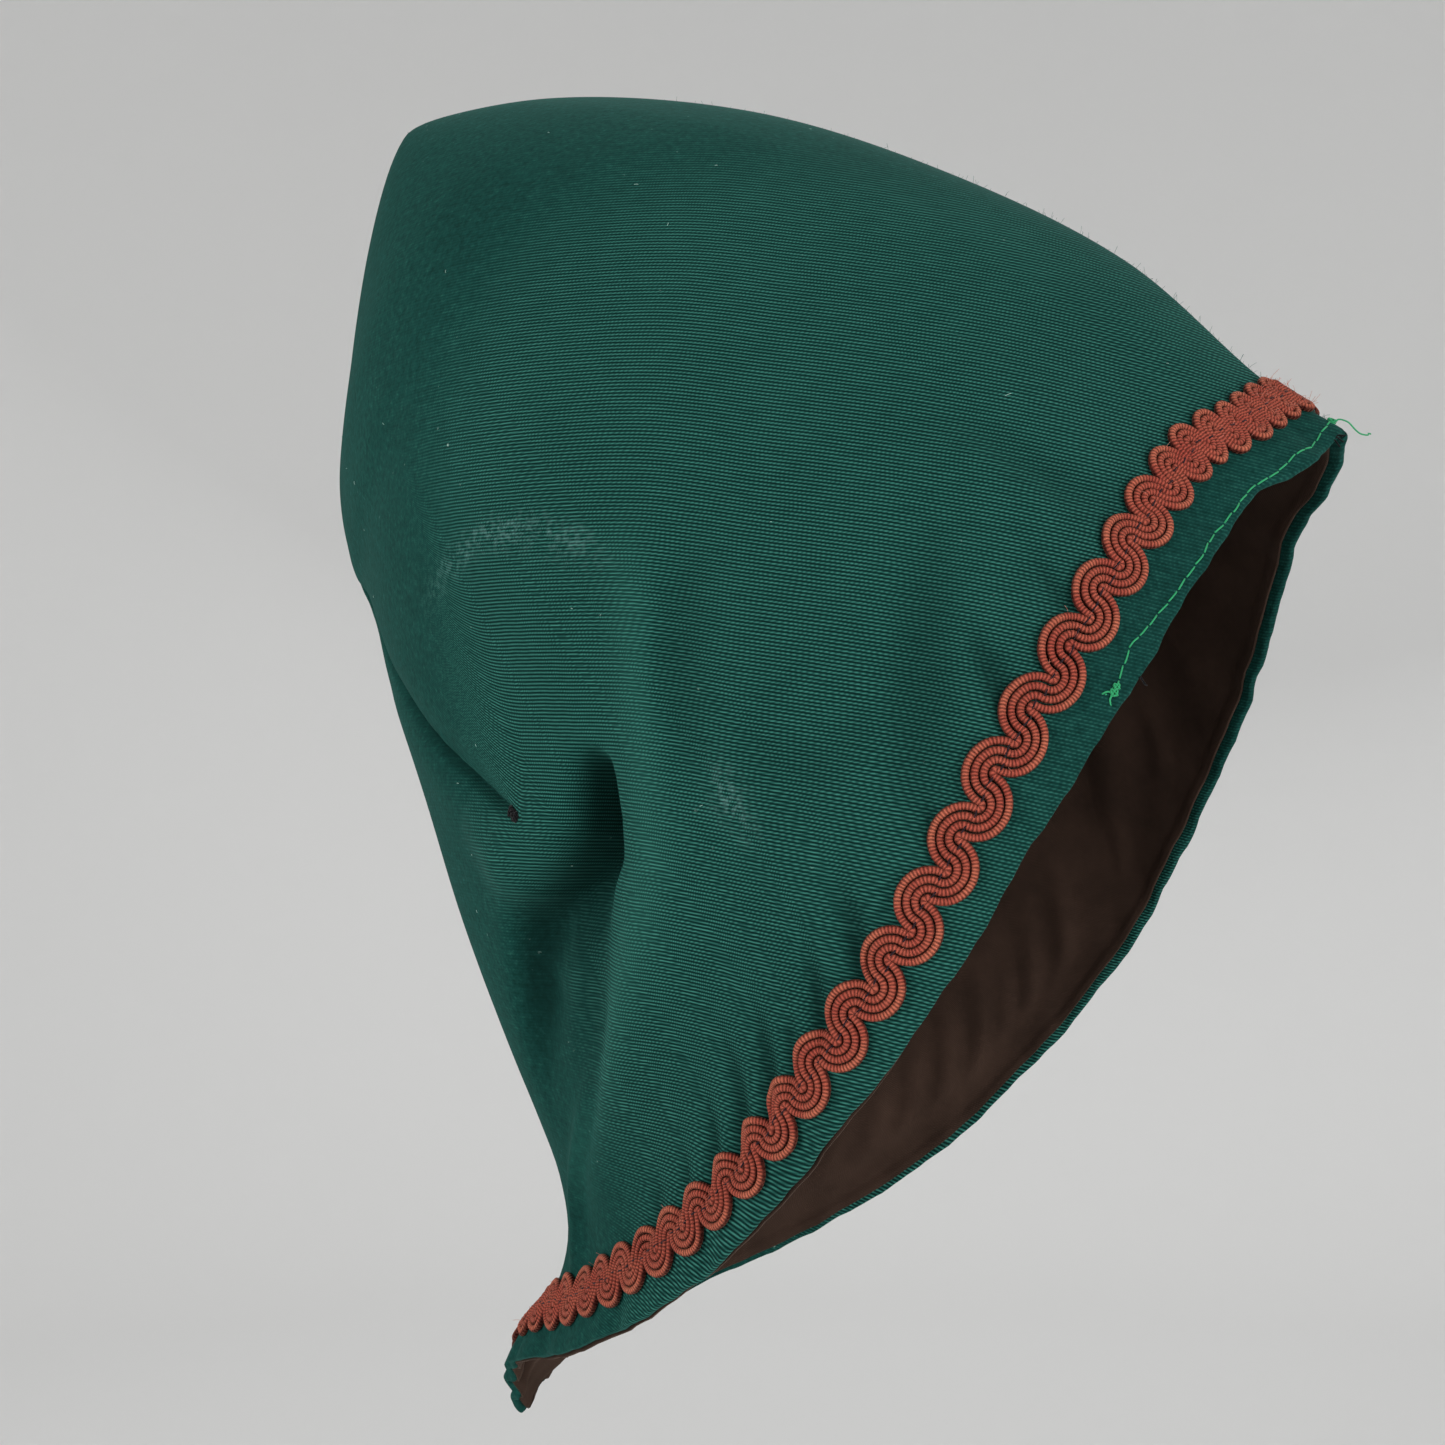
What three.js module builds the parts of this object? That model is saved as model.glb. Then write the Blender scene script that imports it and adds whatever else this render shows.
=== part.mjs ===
// Pointed cloth hood: two mirrored side panels sewn along a crown seam and a back seam, a turned-in
// hem round the face and neck opening, a brown lining, and a serpentine gimp braid along the hem.
// Millimetres. +X is forward, over the face, +Y is the wearer's left, +Z is up.
// The origin is the head seat, where the crown of the head touches the lining.

import * as THREE from 'three';

// Overall sizes
const HOOD_LENGTH = 254;        // rearmost stretch of the back seam to the peak over the face
const HOOD_HEIGHT = 328;        // tip of the nape to the top of the crown
const HALF_WIDTH = 83;          // middle plane to the widest stretch, over the ear

// Cloth
const CLOTH = 1.2;              // outer cloth
const LINING = 1.0;             // lining cloth
const LAYER_GAP = 0.3;          // between outer cloth and lining
const SEAM_GAP = 0.3;           // between the right and left panels at a seam
const HEM_TURN = 2.8;           // outer cloth turned in at the opening
const HEM_FOLD = 1.3;           // extra thickness of the turned-in cloth
const HEM_GAP = 1.4;            // from the turned-in cloth to the lining's edge

// Braid
const BRAID_LOBE = 6.4;         // middle line of the band to the outermost cord of a lobe
const BRAID_NOTCH = 2.0;        // middle line to the notch between two lobes
const BRAID_THICK = 2.0;        // height of the wound cords
const BRAID_INSET = 15.5;       // edge of the hood to the band's middle line
const BRAID_PITCH = 12.2;       // from lobe to lobe, those of the two edges taking turns
const BRAID_GAP = 0.4;          // clear of the outer cloth

// Seat of the head, as a share of the crown seam from the face to the point
const SEAT_AT = 0.55;

// Crown seam from the peak over the face to the hood's point. Shares: along of HOOD_LENGTH from
// the rear, up of HOOD_HEIGHT from the tip of the nape.
const CROWN_SEAM = [
  { along: 1.0, up: 0.6987 },
  { along: 0.936, up: 0.733 },
  { along: 0.819, up: 0.821 },
  { along: 0.657, up: 0.8975 },
  { along: 0.47, up: 0.961 },
  { along: 0.255, up: 0.9975 },
  { along: 0.116, up: 0.997 },
  { along: 0.076, up: 0.99 },
];

// Back seam from the tip of the nape up to the hood's point, in the same shares.
const BACK_SEAM = [
  { along: 0.215, up: 0 },
  { along: 0.225, up: 0.031 },
  { along: 0.255, up: 0.067 },
  { along: 0.288, up: 0.11 },
  { along: 0.302, up: 0.159 },
  { along: 0.289, up: 0.202 },
  { along: 0.25, up: 0.263 },
  { along: 0.2, up: 0.345 },
  { along: 0.152, up: 0.433 },
  { along: 0.105, up: 0.525 },
  { along: 0.05, up: 0.604 },
  { along: 0.022, up: 0.632 },
  { along: 0, up: 0.686 },
  { along: 0.008, up: 0.766 },
  { along: 0.026, up: 0.86 },
  { along: 0.05, up: 0.94 },
  { along: 0.076, up: 0.99 },
];

// Line of the face edge seen from the side. down is the share of the straight line from the peak
// to the nape, bow how far the edge stands forward of that line, as a share of HOOD_LENGTH.
const FACE_EDGE = [
  { down: 0, bow: 0 },
  { down: 0.043, bow: 0.008 },
  { down: 0.068, bow: 0.002 },
  { down: 0.091, bow: 0.008 },
  { down: 0.142, bow: 0.028 },
  { down: 0.216, bow: 0.055 },
  { down: 0.311, bow: 0.081 },
  { down: 0.413, bow: 0.1065 },
  { down: 0.49, bow: 0.114 },
  { down: 0.578, bow: 0.1135 },
  { down: 0.662, bow: 0.1065 },
  { down: 0.769, bow: 0.075 },
  { down: 0.873, bow: 0.025 },
  { down: 0.957, bow: -0.019 },
  { down: 1, bow: 0 },
];

// Sections of a panel from the face edge, back 0, to the hood's point, back 1. width is the share
// of HALF_WIDTH at the widest place. crown and nape shape the section where it nears the crown
// seam and the back seam: 0.5 is fully round, 1 a flat wedge. bow is the share kept of the face
// edge's bow.
const SECTIONS = [
  { back: 0, width: 0.928, crown: 0.8, nape: 0.93, bow: 1 },
  { back: 0.12, width: 0.96, crown: 0.68, nape: 0.82, bow: 0.8 },
  { back: 0.25, width: 0.98, crown: 0.63, nape: 0.66, bow: 0.62 },
  { back: 0.4, width: 0.96, crown: 0.62, nape: 0.62, bow: 0.42 },
  { back: 0.55, width: 0.84, crown: 0.68, nape: 0.72, bow: 0.25 },
  { back: 0.7, width: 0.6, crown: 0.78, nape: 1.0, bow: 0.12 },
  { back: 0.85, width: 0.31, crown: 0.88, nape: 1.05, bow: 0.04 },
  { back: 1, width: 0, crown: 0.95, nape: 1.05, bow: 0 },
];

// Folds seen from the side: each is a line of points in the shares of the seams, with its half
// width and its height as shares of HOOD_LENGTH. A valley has a negative height.
const FOLDS = [
  // Pocket under the end of the dart, running back and down into the hollow of the neck
  [
    { along: 0.475, up: 0.51, half: 0.026, rise: 0 },
    { along: 0.468, up: 0.47, half: 0.032, rise: -0.026 },
    { along: 0.456, up: 0.432, half: 0.04, rise: -0.033 },
    { along: 0.412, up: 0.405, half: 0.042, rise: -0.026 },
    { along: 0.364, up: 0.378, half: 0.04, rise: -0.022 },
    { along: 0.35, up: 0.335, half: 0.04, rise: -0.02 },
    { along: 0.34, up: 0.27, half: 0.04, rise: -0.012 },
    { along: 0.33, up: 0.2, half: 0.036, rise: 0 },
  ],
  // Edge between the side of the hood and the hollow of the neck
  [
    { along: 0.51, up: 0.53, half: 0.036, rise: 0 },
    { along: 0.51, up: 0.431, half: 0.036, rise: 0.012 },
    { along: 0.48, up: 0.364, half: 0.036, rise: 0.014 },
    { along: 0.435, up: 0.296, half: 0.034, rise: 0.014 },
    { along: 0.38, up: 0.211, half: 0.03, rise: 0.012 },
    { along: 0.367, up: 0.15, half: 0.03, rise: 0 },
  ],
  // Puffed cloth between the dart and the pocket
  [
    { along: 0.3, up: 0.46, half: 0.036, rise: 0 },
    { along: 0.345, up: 0.432, half: 0.036, rise: 0.014 },
    { along: 0.395, up: 0.45, half: 0.03, rise: 0.012 },
    { along: 0.425, up: 0.48, half: 0.03, rise: 0 },
  ],
  // Dart sewn from the kink of the back seam down and forward
  [
    { along: 0.03, up: 0.64, half: 0.014, rise: 0 },
    { along: 0.14, up: 0.555, half: 0.016, rise: -0.008 },
    { along: 0.25, up: 0.506, half: 0.016, rise: -0.01 },
    { along: 0.33, up: 0.469, half: 0.018, rise: -0.014 },
    { along: 0.384, up: 0.445, half: 0.016, rise: 0 },
  ],
  // Soft upright hollow above the ear
  [
    { along: 0.545, up: 0.66, half: 0.04, rise: 0 },
    { along: 0.538, up: 0.56, half: 0.04, rise: -0.007 },
    { along: 0.55, up: 0.44, half: 0.04, rise: 0 },
  ],
  // Soft upright hollow at the temple
  [
    { along: 0.735, up: 0.67, half: 0.05, rise: 0 },
    { along: 0.725, up: 0.57, half: 0.045, rise: -0.009 },
    { along: 0.7, up: 0.44, half: 0.05, rise: 0 },
  ],
];
const LEFT_FOLD_SHARE = 0.85;   // the far panel hangs a little smoother

// Mesh steps
const HEM_ROWS = 3;             // rows of the outer cloth before the lining starts
const ROWS = 19;                // from the hem to the hood's point
const ROW_CROWDING = 1.12;      // above 1 sets rows closer together near the hem
const COLUMNS = 24;             // from the crown seam to the back seam
const COLUMN_CROWDING = 1.3;    // above 1 sets columns closer together near the back seam
const EVENING_PASSES = 4;
const STEPS_PER_WAVE = 8;
const TRACE_STEPS = 240;        // for measuring the braid's path on one side
const SLOPE_STEP = 0.002;       // for measuring slopes on the panel

const RIGHT = -1;
const LEFT = 1;

const GREEN = { color: 0x1c4b45, roughness: 0.85, metalness: 0 };
const BROWN = { color: 0x2b2118, roughness: 0.9, metalness: 0 };
const RUST = { color: 0x8a4334, roughness: 0.7, metalness: 0 };

// A smooth curve through the rows of a table, with the slope at each row taken from its neighbours
function smoothTable(rows, key, column) {
  const x = rows.map((row) => row[key]);
  const y = rows.map((row) => row[column]);
  const last = x.length - 1;
  const rate = (i) => (y[i + 1] - y[i]) / (x[i + 1] - x[i]);
  const slope = x.map((_, i) => {
    if (i === 0) return rate(0);
    if (i === last) return rate(last - 1);
    const before = x[i] - x[i - 1];
    const after = x[i + 1] - x[i];
    return (rate(i) * before + rate(i - 1) * after) / (before + after);
  });
  return (at) => {
    const place = THREE.MathUtils.clamp(at, x[0], x[last]);
    let i = 0;
    while (i < last - 1 && place > x[i + 1]) i += 1;
    const span = x[i + 1] - x[i];
    const f = (place - x[i]) / span;
    const g = 1 - f;
    const start = y[i] * (1 + 2 * f) * g * g + slope[i] * span * f * g * g;
    const end = y[i + 1] * (3 - 2 * f) * f * f - slope[i + 1] * span * g * f * f;
    return start + end;
  };
}

// A seam in the middle plane, measured from the rear and from the tip of the nape
function seamCurve(rows) {
  const points = rows.map((row) => new THREE.Vector3(row.along * HOOD_LENGTH, 0, row.up * HOOD_HEIGHT));
  const curve = new THREE.CatmullRomCurve3(points);
  curve.arcLengthDivisions = 600;
  return curve;
}

const crownSeam = seamCurve(CROWN_SEAM);
const backSeam = seamCurve(BACK_SEAM);
const faceBow = smoothTable(FACE_EDGE, 'down', 'bow');
const sectionWidth = smoothTable(SECTIONS, 'back', 'width');
const sectionCrown = smoothTable(SECTIONS, 'back', 'crown');
const sectionNape = smoothTable(SECTIONS, 'back', 'nape');
const sectionBow = smoothTable(SECTIONS, 'back', 'bow');

// The panel before its folds. back runs from 0 at the face edge to 1 at the hood's point, down
// from 0 at the crown seam to 1 at the back seam.
function smoothPanel(back, down, side) {
  const crown = crownSeam.getPointAt(back);
  const rear = backSeam.getPointAt(back);
  const across = rear.clone().sub(crown);
  const forward = new THREE.Vector3(-across.z, 0, across.x).normalize();
  const bow = faceBow(down) * sectionBow(back) * HOOD_LENGTH;
  const point = crown.addScaledVector(across, down).addScaledVector(forward, bow);
  const a = sectionCrown(back);
  const b = sectionNape(back);
  const widest = a / (a + b);
  const swell = (down / widest) ** a * ((1 - down) / (1 - widest)) ** b;
  point.y = side * sectionWidth(back) * HALF_WIDTH * swell;
  return point;
}

// Height of one fold at a place seen from the side, fading out with the distance from its line
function foldRise(fold, x, z) {
  let nearest = Infinity;
  let rise = 0;
  for (let i = 0; i + 1 < fold.length; i += 1) {
    const from = fold[i];
    const to = fold[i + 1];
    const runX = (to.along - from.along) * HOOD_LENGTH;
    const runZ = (to.up - from.up) * HOOD_HEIGHT;
    const awayX = x - from.along * HOOD_LENGTH;
    const awayZ = z - from.up * HOOD_HEIGHT;
    const f = THREE.MathUtils.clamp((awayX * runX + awayZ * runZ) / (runX * runX + runZ * runZ), 0, 1);
    const distance = Math.hypot(awayX - runX * f, awayZ - runZ * f);
    if (distance < nearest) {
      nearest = distance;
      const half = THREE.MathUtils.lerp(from.half, to.half, f) * HOOD_LENGTH;
      rise = THREE.MathUtils.lerp(from.rise, to.rise, f) * HOOD_LENGTH * Math.exp(-((distance / half) ** 2));
    }
  }
  return rise;
}

// Directions on the panel along its sections and across them
function slopes(panel, back, down, side) {
  const b0 = Math.max(back - SLOPE_STEP, 0);
  const b1 = Math.min(back + SLOPE_STEP, 1);
  const d0 = Math.max(down - SLOPE_STEP, 0);
  const d1 = Math.min(down + SLOPE_STEP, 1);
  return {
    alongBack: panel(b1, down, side).sub(panel(b0, down, side)).divideScalar(b1 - b0),
    alongDown: panel(back, d1, side).sub(panel(back, d0, side)).divideScalar(d1 - d0),
  };
}

// Unit direction out of the cloth
function outward(panel, back, down, side) {
  const { alongBack, alongDown } = slopes(panel, back, down, side);
  return alongDown.cross(alongBack).multiplyScalar(side).normalize();
}

// The panel with its folds, which stop short of the seams so that the two panels still meet
function foldedPanel(back, down, side) {
  const point = smoothPanel(back, down, side);
  const share = side === LEFT ? LEFT_FOLD_SHARE : 1;
  let rise = 0;
  for (const fold of FOLDS) rise += foldRise(fold, point.x, point.z);
  const nearSeam = THREE.MathUtils.smoothstep(Math.abs(point.y), 0, HALF_WIDTH / 4);
  if (nearSeam === 0 || back === 1) return point;
  return point.addScaledVector(outward(smoothPanel, back, down, side), rise * share * nearSeam);
}

// Rows from the face edge to the point: three for the turned-in cloth, then those that the outer
// cloth shares with the lining
function rowShares() {
  const whole = crownSeam.getLength();
  const hemEnd = HEM_TURN / whole;
  const liningStart = (HEM_TURN + HEM_GAP) / whole;
  const rows = [0, hemEnd, (hemEnd + liningStart) / 2];
  for (let i = 0; i <= ROWS; i += 1) rows.push(liningStart + (1 - liningStart) * (i / ROWS) ** ROW_CROWDING);
  return rows;
}

function columnShares() {
  const columns = [];
  for (let j = 0; j <= COLUMNS; j += 1) {
    const turn = Math.PI * (1 - (1 - j / COLUMNS) ** COLUMN_CROWDING);
    columns.push((1 - Math.cos(turn)) / 2);
  }
  return columns;
}

// Directions evened out with their neighbours, so that the layers under a sharp fold stay apart
function evenedOut(normals) {
  const last = normals.length - 1;
  return normals.map((row, i) => row.map((normal, j) => {
    const sum = normal.clone();
    if (i > 0) sum.add(normals[i - 1][j]);
    if (i < last) sum.add(normals[i + 1][j]);
    if (j > 0) sum.add(row[j - 1]);
    if (j < COLUMNS) sum.add(row[j + 1]);
    return sum.normalize();
  }));
}

// Grid of points on the outer face, and the unit direction out of the cloth at each point, taken
// from the facets around it. The last row is the hood's point.
function panelGrid(side) {
  const rows = rowShares();
  const columns = columnShares();
  const points = rows.map((back) => columns.map((down) => foldedPanel(back, down, side)));
  let normals = points.map((row) => row.map(() => new THREE.Vector3()));
  for (let i = 0; i + 1 < rows.length; i += 1) {
    for (let j = 0; j < COLUMNS; j += 1) {
      const diagonal = points[i + 1][j + 1].clone().sub(points[i][j]);
      const other = points[i + 1][j].clone().sub(points[i][j + 1]);
      const facing = diagonal.cross(other).multiplyScalar(side);
      for (const [a, b] of [[i, j], [i + 1, j], [i, j + 1], [i + 1, j + 1]]) normals[a][b].add(facing);
    }
  }
  normals.forEach((row) => row.forEach((normal) => normal.normalize()));
  for (let pass = 0; pass < EVENING_PASSES; pass += 1) normals = evenedOut(normals);
  return { points, normals, side };
}

// One face of a layer, a depth inside the outer face. At the seams it slides along the cloth
// until it is half the seam's gap from the middle plane, as two cut edges meet in a seam.
function layerFace(grid, depthAt) {
  const { points, normals, side } = grid;
  const seamY = side * SEAM_GAP / 2;
  const last = points.length - 1;
  const face = [];
  for (let i = 0; i < last; i += 1) {
    face.push(points[i].map((point, j) => {
      const depth = depthAt(i);
      const moved = point.clone().addScaledVector(normals[i][j], -depth);
      if (j > 0 && j < COLUMNS) {
        moved.y = side * Math.max(moved.y * side, SEAM_GAP / 2);
        return moved;
      }
      const inward = points[i][j === 0 ? 1 : COLUMNS - 1].clone().sub(point).normalize();
      const slide = Math.max((seamY - moved.y) / inward.y, 0);
      moved.addScaledVector(inward, Math.min(slide, 3 * depth));
      moved.y = seamY;
      return moved;
    }));
  }
  const tip = points[last][0].clone();
  const middle = points[last - 1][0].clone().add(points[last - 1][COLUMNS]).divideScalar(2);
  const inward = middle.sub(tip).setY(0).normalize();
  tip.addScaledVector(inward, 2.2 * depthAt(last));
  tip.y = seamY;
  face.push([tip]);
  return face;
}

// Closed body between two faces that share their rows and columns and end in one point each
function closedLayer(outer, inner) {
  const positions = [];
  const triangles = [];
  const number = (face) => face.map((row) => row.map((point) => positions.push(...point.toArray()) / 3 - 1));
  const faces = [number(outer), number(inner)];
  const last = outer.length - 1;
  const at = (face, i, j) => (i === last ? faces[face][i][0] : faces[face][i][j]);
  const quad = (a, b, c, d) => {
    if (b !== c) triangles.push(a, b, c);
    if (c !== d) triangles.push(a, c, d);
  };
  for (let i = 0; i < last; i += 1) {
    for (let j = 0; j < COLUMNS; j += 1) {
      quad(at(0, i, j), at(0, i, j + 1), at(0, i + 1, j + 1), at(0, i + 1, j));
      quad(at(1, i, j), at(1, i + 1, j), at(1, i + 1, j + 1), at(1, i, j + 1));
    }
    quad(at(0, i + 1, 0), at(1, i + 1, 0), at(1, i, 0), at(0, i, 0));
    quad(at(0, i, COLUMNS), at(1, i, COLUMNS), at(1, i + 1, COLUMNS), at(0, i + 1, COLUMNS));
  }
  for (let j = 0; j < COLUMNS; j += 1) quad(at(0, 0, j), at(1, 0, j), at(1, 0, j + 1), at(0, 0, j + 1));
  return solidGeometry(positions, triangles);
}

// Geometry whose triangles are turned to face out of the body
function solidGeometry(positions, triangles) {
  let volume = 0;
  const corner = (n) => new THREE.Vector3().fromArray(positions, n * 3);
  for (let k = 0; k < triangles.length; k += 3) {
    const [a, b, c] = triangles.slice(k, k + 3).map(corner);
    volume += a.dot(b.cross(c));
  }
  if (volume < 0) triangles.reverse();
  const geometry = new THREE.BufferGeometry();
  geometry.setAttribute('position', new THREE.Float32BufferAttribute(positions, 3));
  geometry.setIndex(triangles);
  geometry.computeVertexNormals();
  return geometry;
}

// Share of the way back that lies a distance from the face edge, measured on the cloth
function backShare(distance, down, side) {
  const trial = 0.05;
  const reach = foldedPanel(trial, down, side).distanceTo(foldedPanel(0, down, side));
  return trial * distance / reach;
}

// Outer cloth of one side, with its edge turned in round the opening
function panelGeometry(grid) {
  const outer = layerFace(grid, () => 0);
  const inner = layerFace(grid, (i) => (i < 2 ? CLOTH + HEM_FOLD : CLOTH));
  return closedLayer(outer, inner);
}

// Lining of one side, from behind the turned-in edge to the hood's point
function liningGeometry(grid) {
  const outer = layerFace(grid, () => CLOTH + LAYER_GAP);
  const inner = layerFace(grid, () => CLOTH + LAYER_GAP + LINING);
  return closedLayer(outer.slice(HEM_ROWS), inner.slice(HEM_ROWS));
}

// The braid's path: down the right side from the crown to the nape, and up the left side
function braidPath() {
  const stops = [];
  for (const side of [RIGHT, LEFT]) {
    for (let k = 0; k < TRACE_STEPS; k += 1) {
      const turn = side === RIGHT ? k / TRACE_STEPS : 1 - k / TRACE_STEPS;
      const down = (1 - Math.cos(Math.PI * turn)) / 2;
      const back = backShare(BRAID_INSET, down, side);
      stops.push({ side, turn, point: foldedPanel(back, down, side) });
    }
  }
  let length = 0;
  stops.forEach((stop, k) => {
    stop.at = length;
    const next = stops[(k + 1) % stops.length];
    length += stop.point.distanceTo(next.point);
  });
  return { stops, length };
}

// Side and turn at a distance along the braid's path
function pathPlace({ stops, length }, distance) {
  let k = stops.length - 1;
  while (stops[k].at > distance) k -= 1;
  const end = k + 1 < stops.length ? stops[k + 1].at : length;
  const f = (distance - stops[k].at) / (end - stops[k].at);
  const step = 1 / TRACE_STEPS;
  const turn = stops[k].turn - stops[k].side * step * f;
  return { side: stops[k].side, turn };
}

// How far an edge of the band stands from its middle line, phase pitches past the middle of a lobe
function lobeReach(phase) {
  const away = 2 * Math.abs(phase - Math.round(phase));
  return BRAID_NOTCH + (BRAID_LOBE - BRAID_NOTCH) * Math.sqrt(1 - away ** 2);
}

// Closed ring of four-cornered sections with lobes along both edges
function braidGeometry() {
  const path = braidPath();
  const waves = Math.round(path.length / BRAID_PITCH);
  const count = waves * STEPS_PER_WAVE;
  const positions = [];
  for (let k = 0; k < count; k += 1) {
    const { side, turn } = pathPlace(path, (k / count) * path.length);
    const down = (1 - Math.cos(Math.PI * turn)) / 2;
    const phase = k / STEPS_PER_WAVE;
    const insets = [BRAID_INSET - lobeReach(phase), BRAID_INSET + lobeReach(phase + 0.5)];
    const corners = [];
    for (const inset of insets) {
      const back = backShare(inset, down, side);
      const point = foldedPanel(back, down, side);
      const normal = outward(foldedPanel, back, down, side);
      for (const height of [BRAID_GAP, BRAID_GAP + BRAID_THICK]) {
        corners.push(point.clone().addScaledVector(normal, height));
      }
    }
    const [nearLow, nearHigh, farLow, farHigh] = corners;
    for (const corner of [nearLow, nearHigh, farHigh, farLow]) positions.push(...corner.toArray());
  }
  const triangles = [];
  for (let k = 0; k < count; k += 1) {
    const here = 4 * k;
    const next = 4 * ((k + 1) % count);
    for (let c = 0; c < 4; c += 1) {
      const d = (c + 1) % 4;
      triangles.push(here + c, next + c, next + d, here + c, next + d, here + d);
    }
  }
  return solidGeometry(positions, triangles);
}

// Where the head's crown touches the lining, on the middle plane
function headSeat() {
  const point = crownSeam.getPointAt(SEAT_AT);
  const tangent = crownSeam.getTangentAt(SEAT_AT);
  const into = new THREE.Vector3(-tangent.z, 0, tangent.x);
  if (into.z > 0) into.negate();
  return point.addScaledVector(into, CLOTH + LAYER_GAP + LINING);
}

const seat = headSeat();

function piece(name, geometry, look) {
  const mesh = new THREE.Mesh(geometry, new THREE.MeshStandardMaterial(look));
  mesh.name = name;
  mesh.position.copy(seat).negate();
  return mesh;
}

const hood = new THREE.Group();
for (const [name, side] of [['right', RIGHT], ['left', LEFT]]) {
  const grid = panelGrid(side);
  hood.add(piece(`${name}_panel`, panelGeometry(grid), GREEN));
  hood.add(piece(`${name}_lining`, liningGeometry(grid), BROWN));
}
hood.add(piece('braid', braidGeometry(), RUST));

export default hood;
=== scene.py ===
import math

import bpy
import numpy as np
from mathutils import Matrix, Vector
from mathutils.bvhtree import BVHTree


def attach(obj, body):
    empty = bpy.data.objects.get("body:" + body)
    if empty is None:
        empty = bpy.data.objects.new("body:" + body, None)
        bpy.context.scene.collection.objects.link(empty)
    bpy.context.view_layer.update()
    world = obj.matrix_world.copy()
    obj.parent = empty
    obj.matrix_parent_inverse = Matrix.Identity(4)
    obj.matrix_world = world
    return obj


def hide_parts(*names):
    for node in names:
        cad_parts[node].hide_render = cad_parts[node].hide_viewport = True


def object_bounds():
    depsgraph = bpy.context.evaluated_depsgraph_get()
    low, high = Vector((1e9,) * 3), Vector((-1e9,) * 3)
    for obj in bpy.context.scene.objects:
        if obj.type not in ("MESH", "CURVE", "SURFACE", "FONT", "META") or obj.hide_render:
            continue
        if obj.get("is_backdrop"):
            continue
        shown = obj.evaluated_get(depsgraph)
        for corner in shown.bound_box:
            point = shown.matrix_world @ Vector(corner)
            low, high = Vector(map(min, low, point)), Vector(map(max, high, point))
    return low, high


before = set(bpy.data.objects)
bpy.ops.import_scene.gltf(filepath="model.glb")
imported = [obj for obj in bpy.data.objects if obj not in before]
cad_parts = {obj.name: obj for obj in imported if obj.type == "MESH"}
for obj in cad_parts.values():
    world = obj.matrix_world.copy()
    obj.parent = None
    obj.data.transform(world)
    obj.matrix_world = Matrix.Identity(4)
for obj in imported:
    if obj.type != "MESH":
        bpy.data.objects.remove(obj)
cad_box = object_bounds()

# Camera and studio. The camera stands close in front of the hood's right side, a little below its
# middle, and looks slightly up. Metres, in the hood's own frame, whose origin is the head seat.
LOOK_AT = Vector((-0.0246, 0, -0.1371))
DISTANCE = 0.480
AZIMUTH = math.radians(25)
ELEVATION = math.radians(-2)
SENSOR = 36.0
FOCAL_PIXELS = 2016
PICTURE_PIXELS = 1445

lens = bpy.data.cameras.new("camera")
lens.sensor_width = SENSOR
lens.lens = SENSOR * FOCAL_PIXELS / PICTURE_PIXELS
camera = bpy.data.objects.new("camera", lens)
bpy.context.scene.collection.objects.link(camera)
towards_camera = Vector((
    math.sin(AZIMUTH) * math.cos(ELEVATION),
    -math.cos(AZIMUTH) * math.cos(ELEVATION),
    math.sin(ELEVATION),
))
camera.location = LOOK_AT + DISTANCE * towards_camera
camera.rotation_euler = (-towards_camera).to_track_quat("-Z", "Y").to_euler()
bpy.context.scene.camera = camera
bpy.context.scene.view_settings.view_transform = "Standard"


class Wire:
    """An output socket of a material that can be used in sums: each sum adds its Math node."""

    def __init__(self, socket):
        self.socket = socket

    def node(self, kind, settings=None, sockets=None, output=0):
        """Adds a node to the same material, sets it and its sockets, and gives one of its outputs."""
        tree = self.socket.id_data
        made = tree.nodes.new(kind)
        for name, value in (settings or {}).items():
            if name == "stops":
                ramp = made.color_ramp
                while len(ramp.elements) < len(value):
                    ramp.elements.new(1)
                for element, (place, colour) in zip(ramp.elements, value):
                    element.position = place
                    element.color = colour
            else:
                setattr(made, name, value)
        for name, value in (sockets or {}).items():
            if isinstance(value, Wire):
                tree.links.new(value.socket, made.inputs[name])
            else:
                made.inputs[name].default_value = value
        return Wire(made.outputs[output])

    def maths(self, operation, *values):
        numbers = {k: value for k, value in enumerate((self, *values))}
        return self.node("ShaderNodeMath", {"operation": operation}, numbers)

    def __add__(self, other):
        return self.maths("ADD", other)

    def __mul__(self, other):
        return self.maths("MULTIPLY", other)

    def __sub__(self, other):
        return self.maths("SUBTRACT", other)

    def __rsub__(self, other):
        return self.node("ShaderNodeMath", {"operation": "SUBTRACT"}, {0: other, 1: self})

    def __truediv__(self, other):
        return self.maths("DIVIDE", other)

    __radd__ = __add__
    __rmul__ = __mul__


def new_finish(name, roughness, sheen=0.0):
    """A material with its Principled shader, which is the start of every sum on it."""
    material = bpy.data.materials.new(name)
    material.use_nodes = True
    shader = material.node_tree.nodes["Principled BSDF"]
    shader.inputs["Roughness"].default_value = roughness
    shader.inputs["Specular IOR Level"].default_value = 0.06
    shader.inputs["Sheen Weight"].default_value = sheen
    shader.inputs["Sheen Roughness"].default_value = 0.5
    return material, shader, Wire(shader.outputs[0])


def blend_colours(factor, first, second):
    """Colour between two others."""
    return factor.node(
        "ShaderNodeMix", {"data_type": "RGBA"}, {0: factor, 6: first, 7: second}, 2
    )


def paint(material, shader, socket, wire):
    material.node_tree.links.new(wire.socket, shader.inputs[socket])


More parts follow.
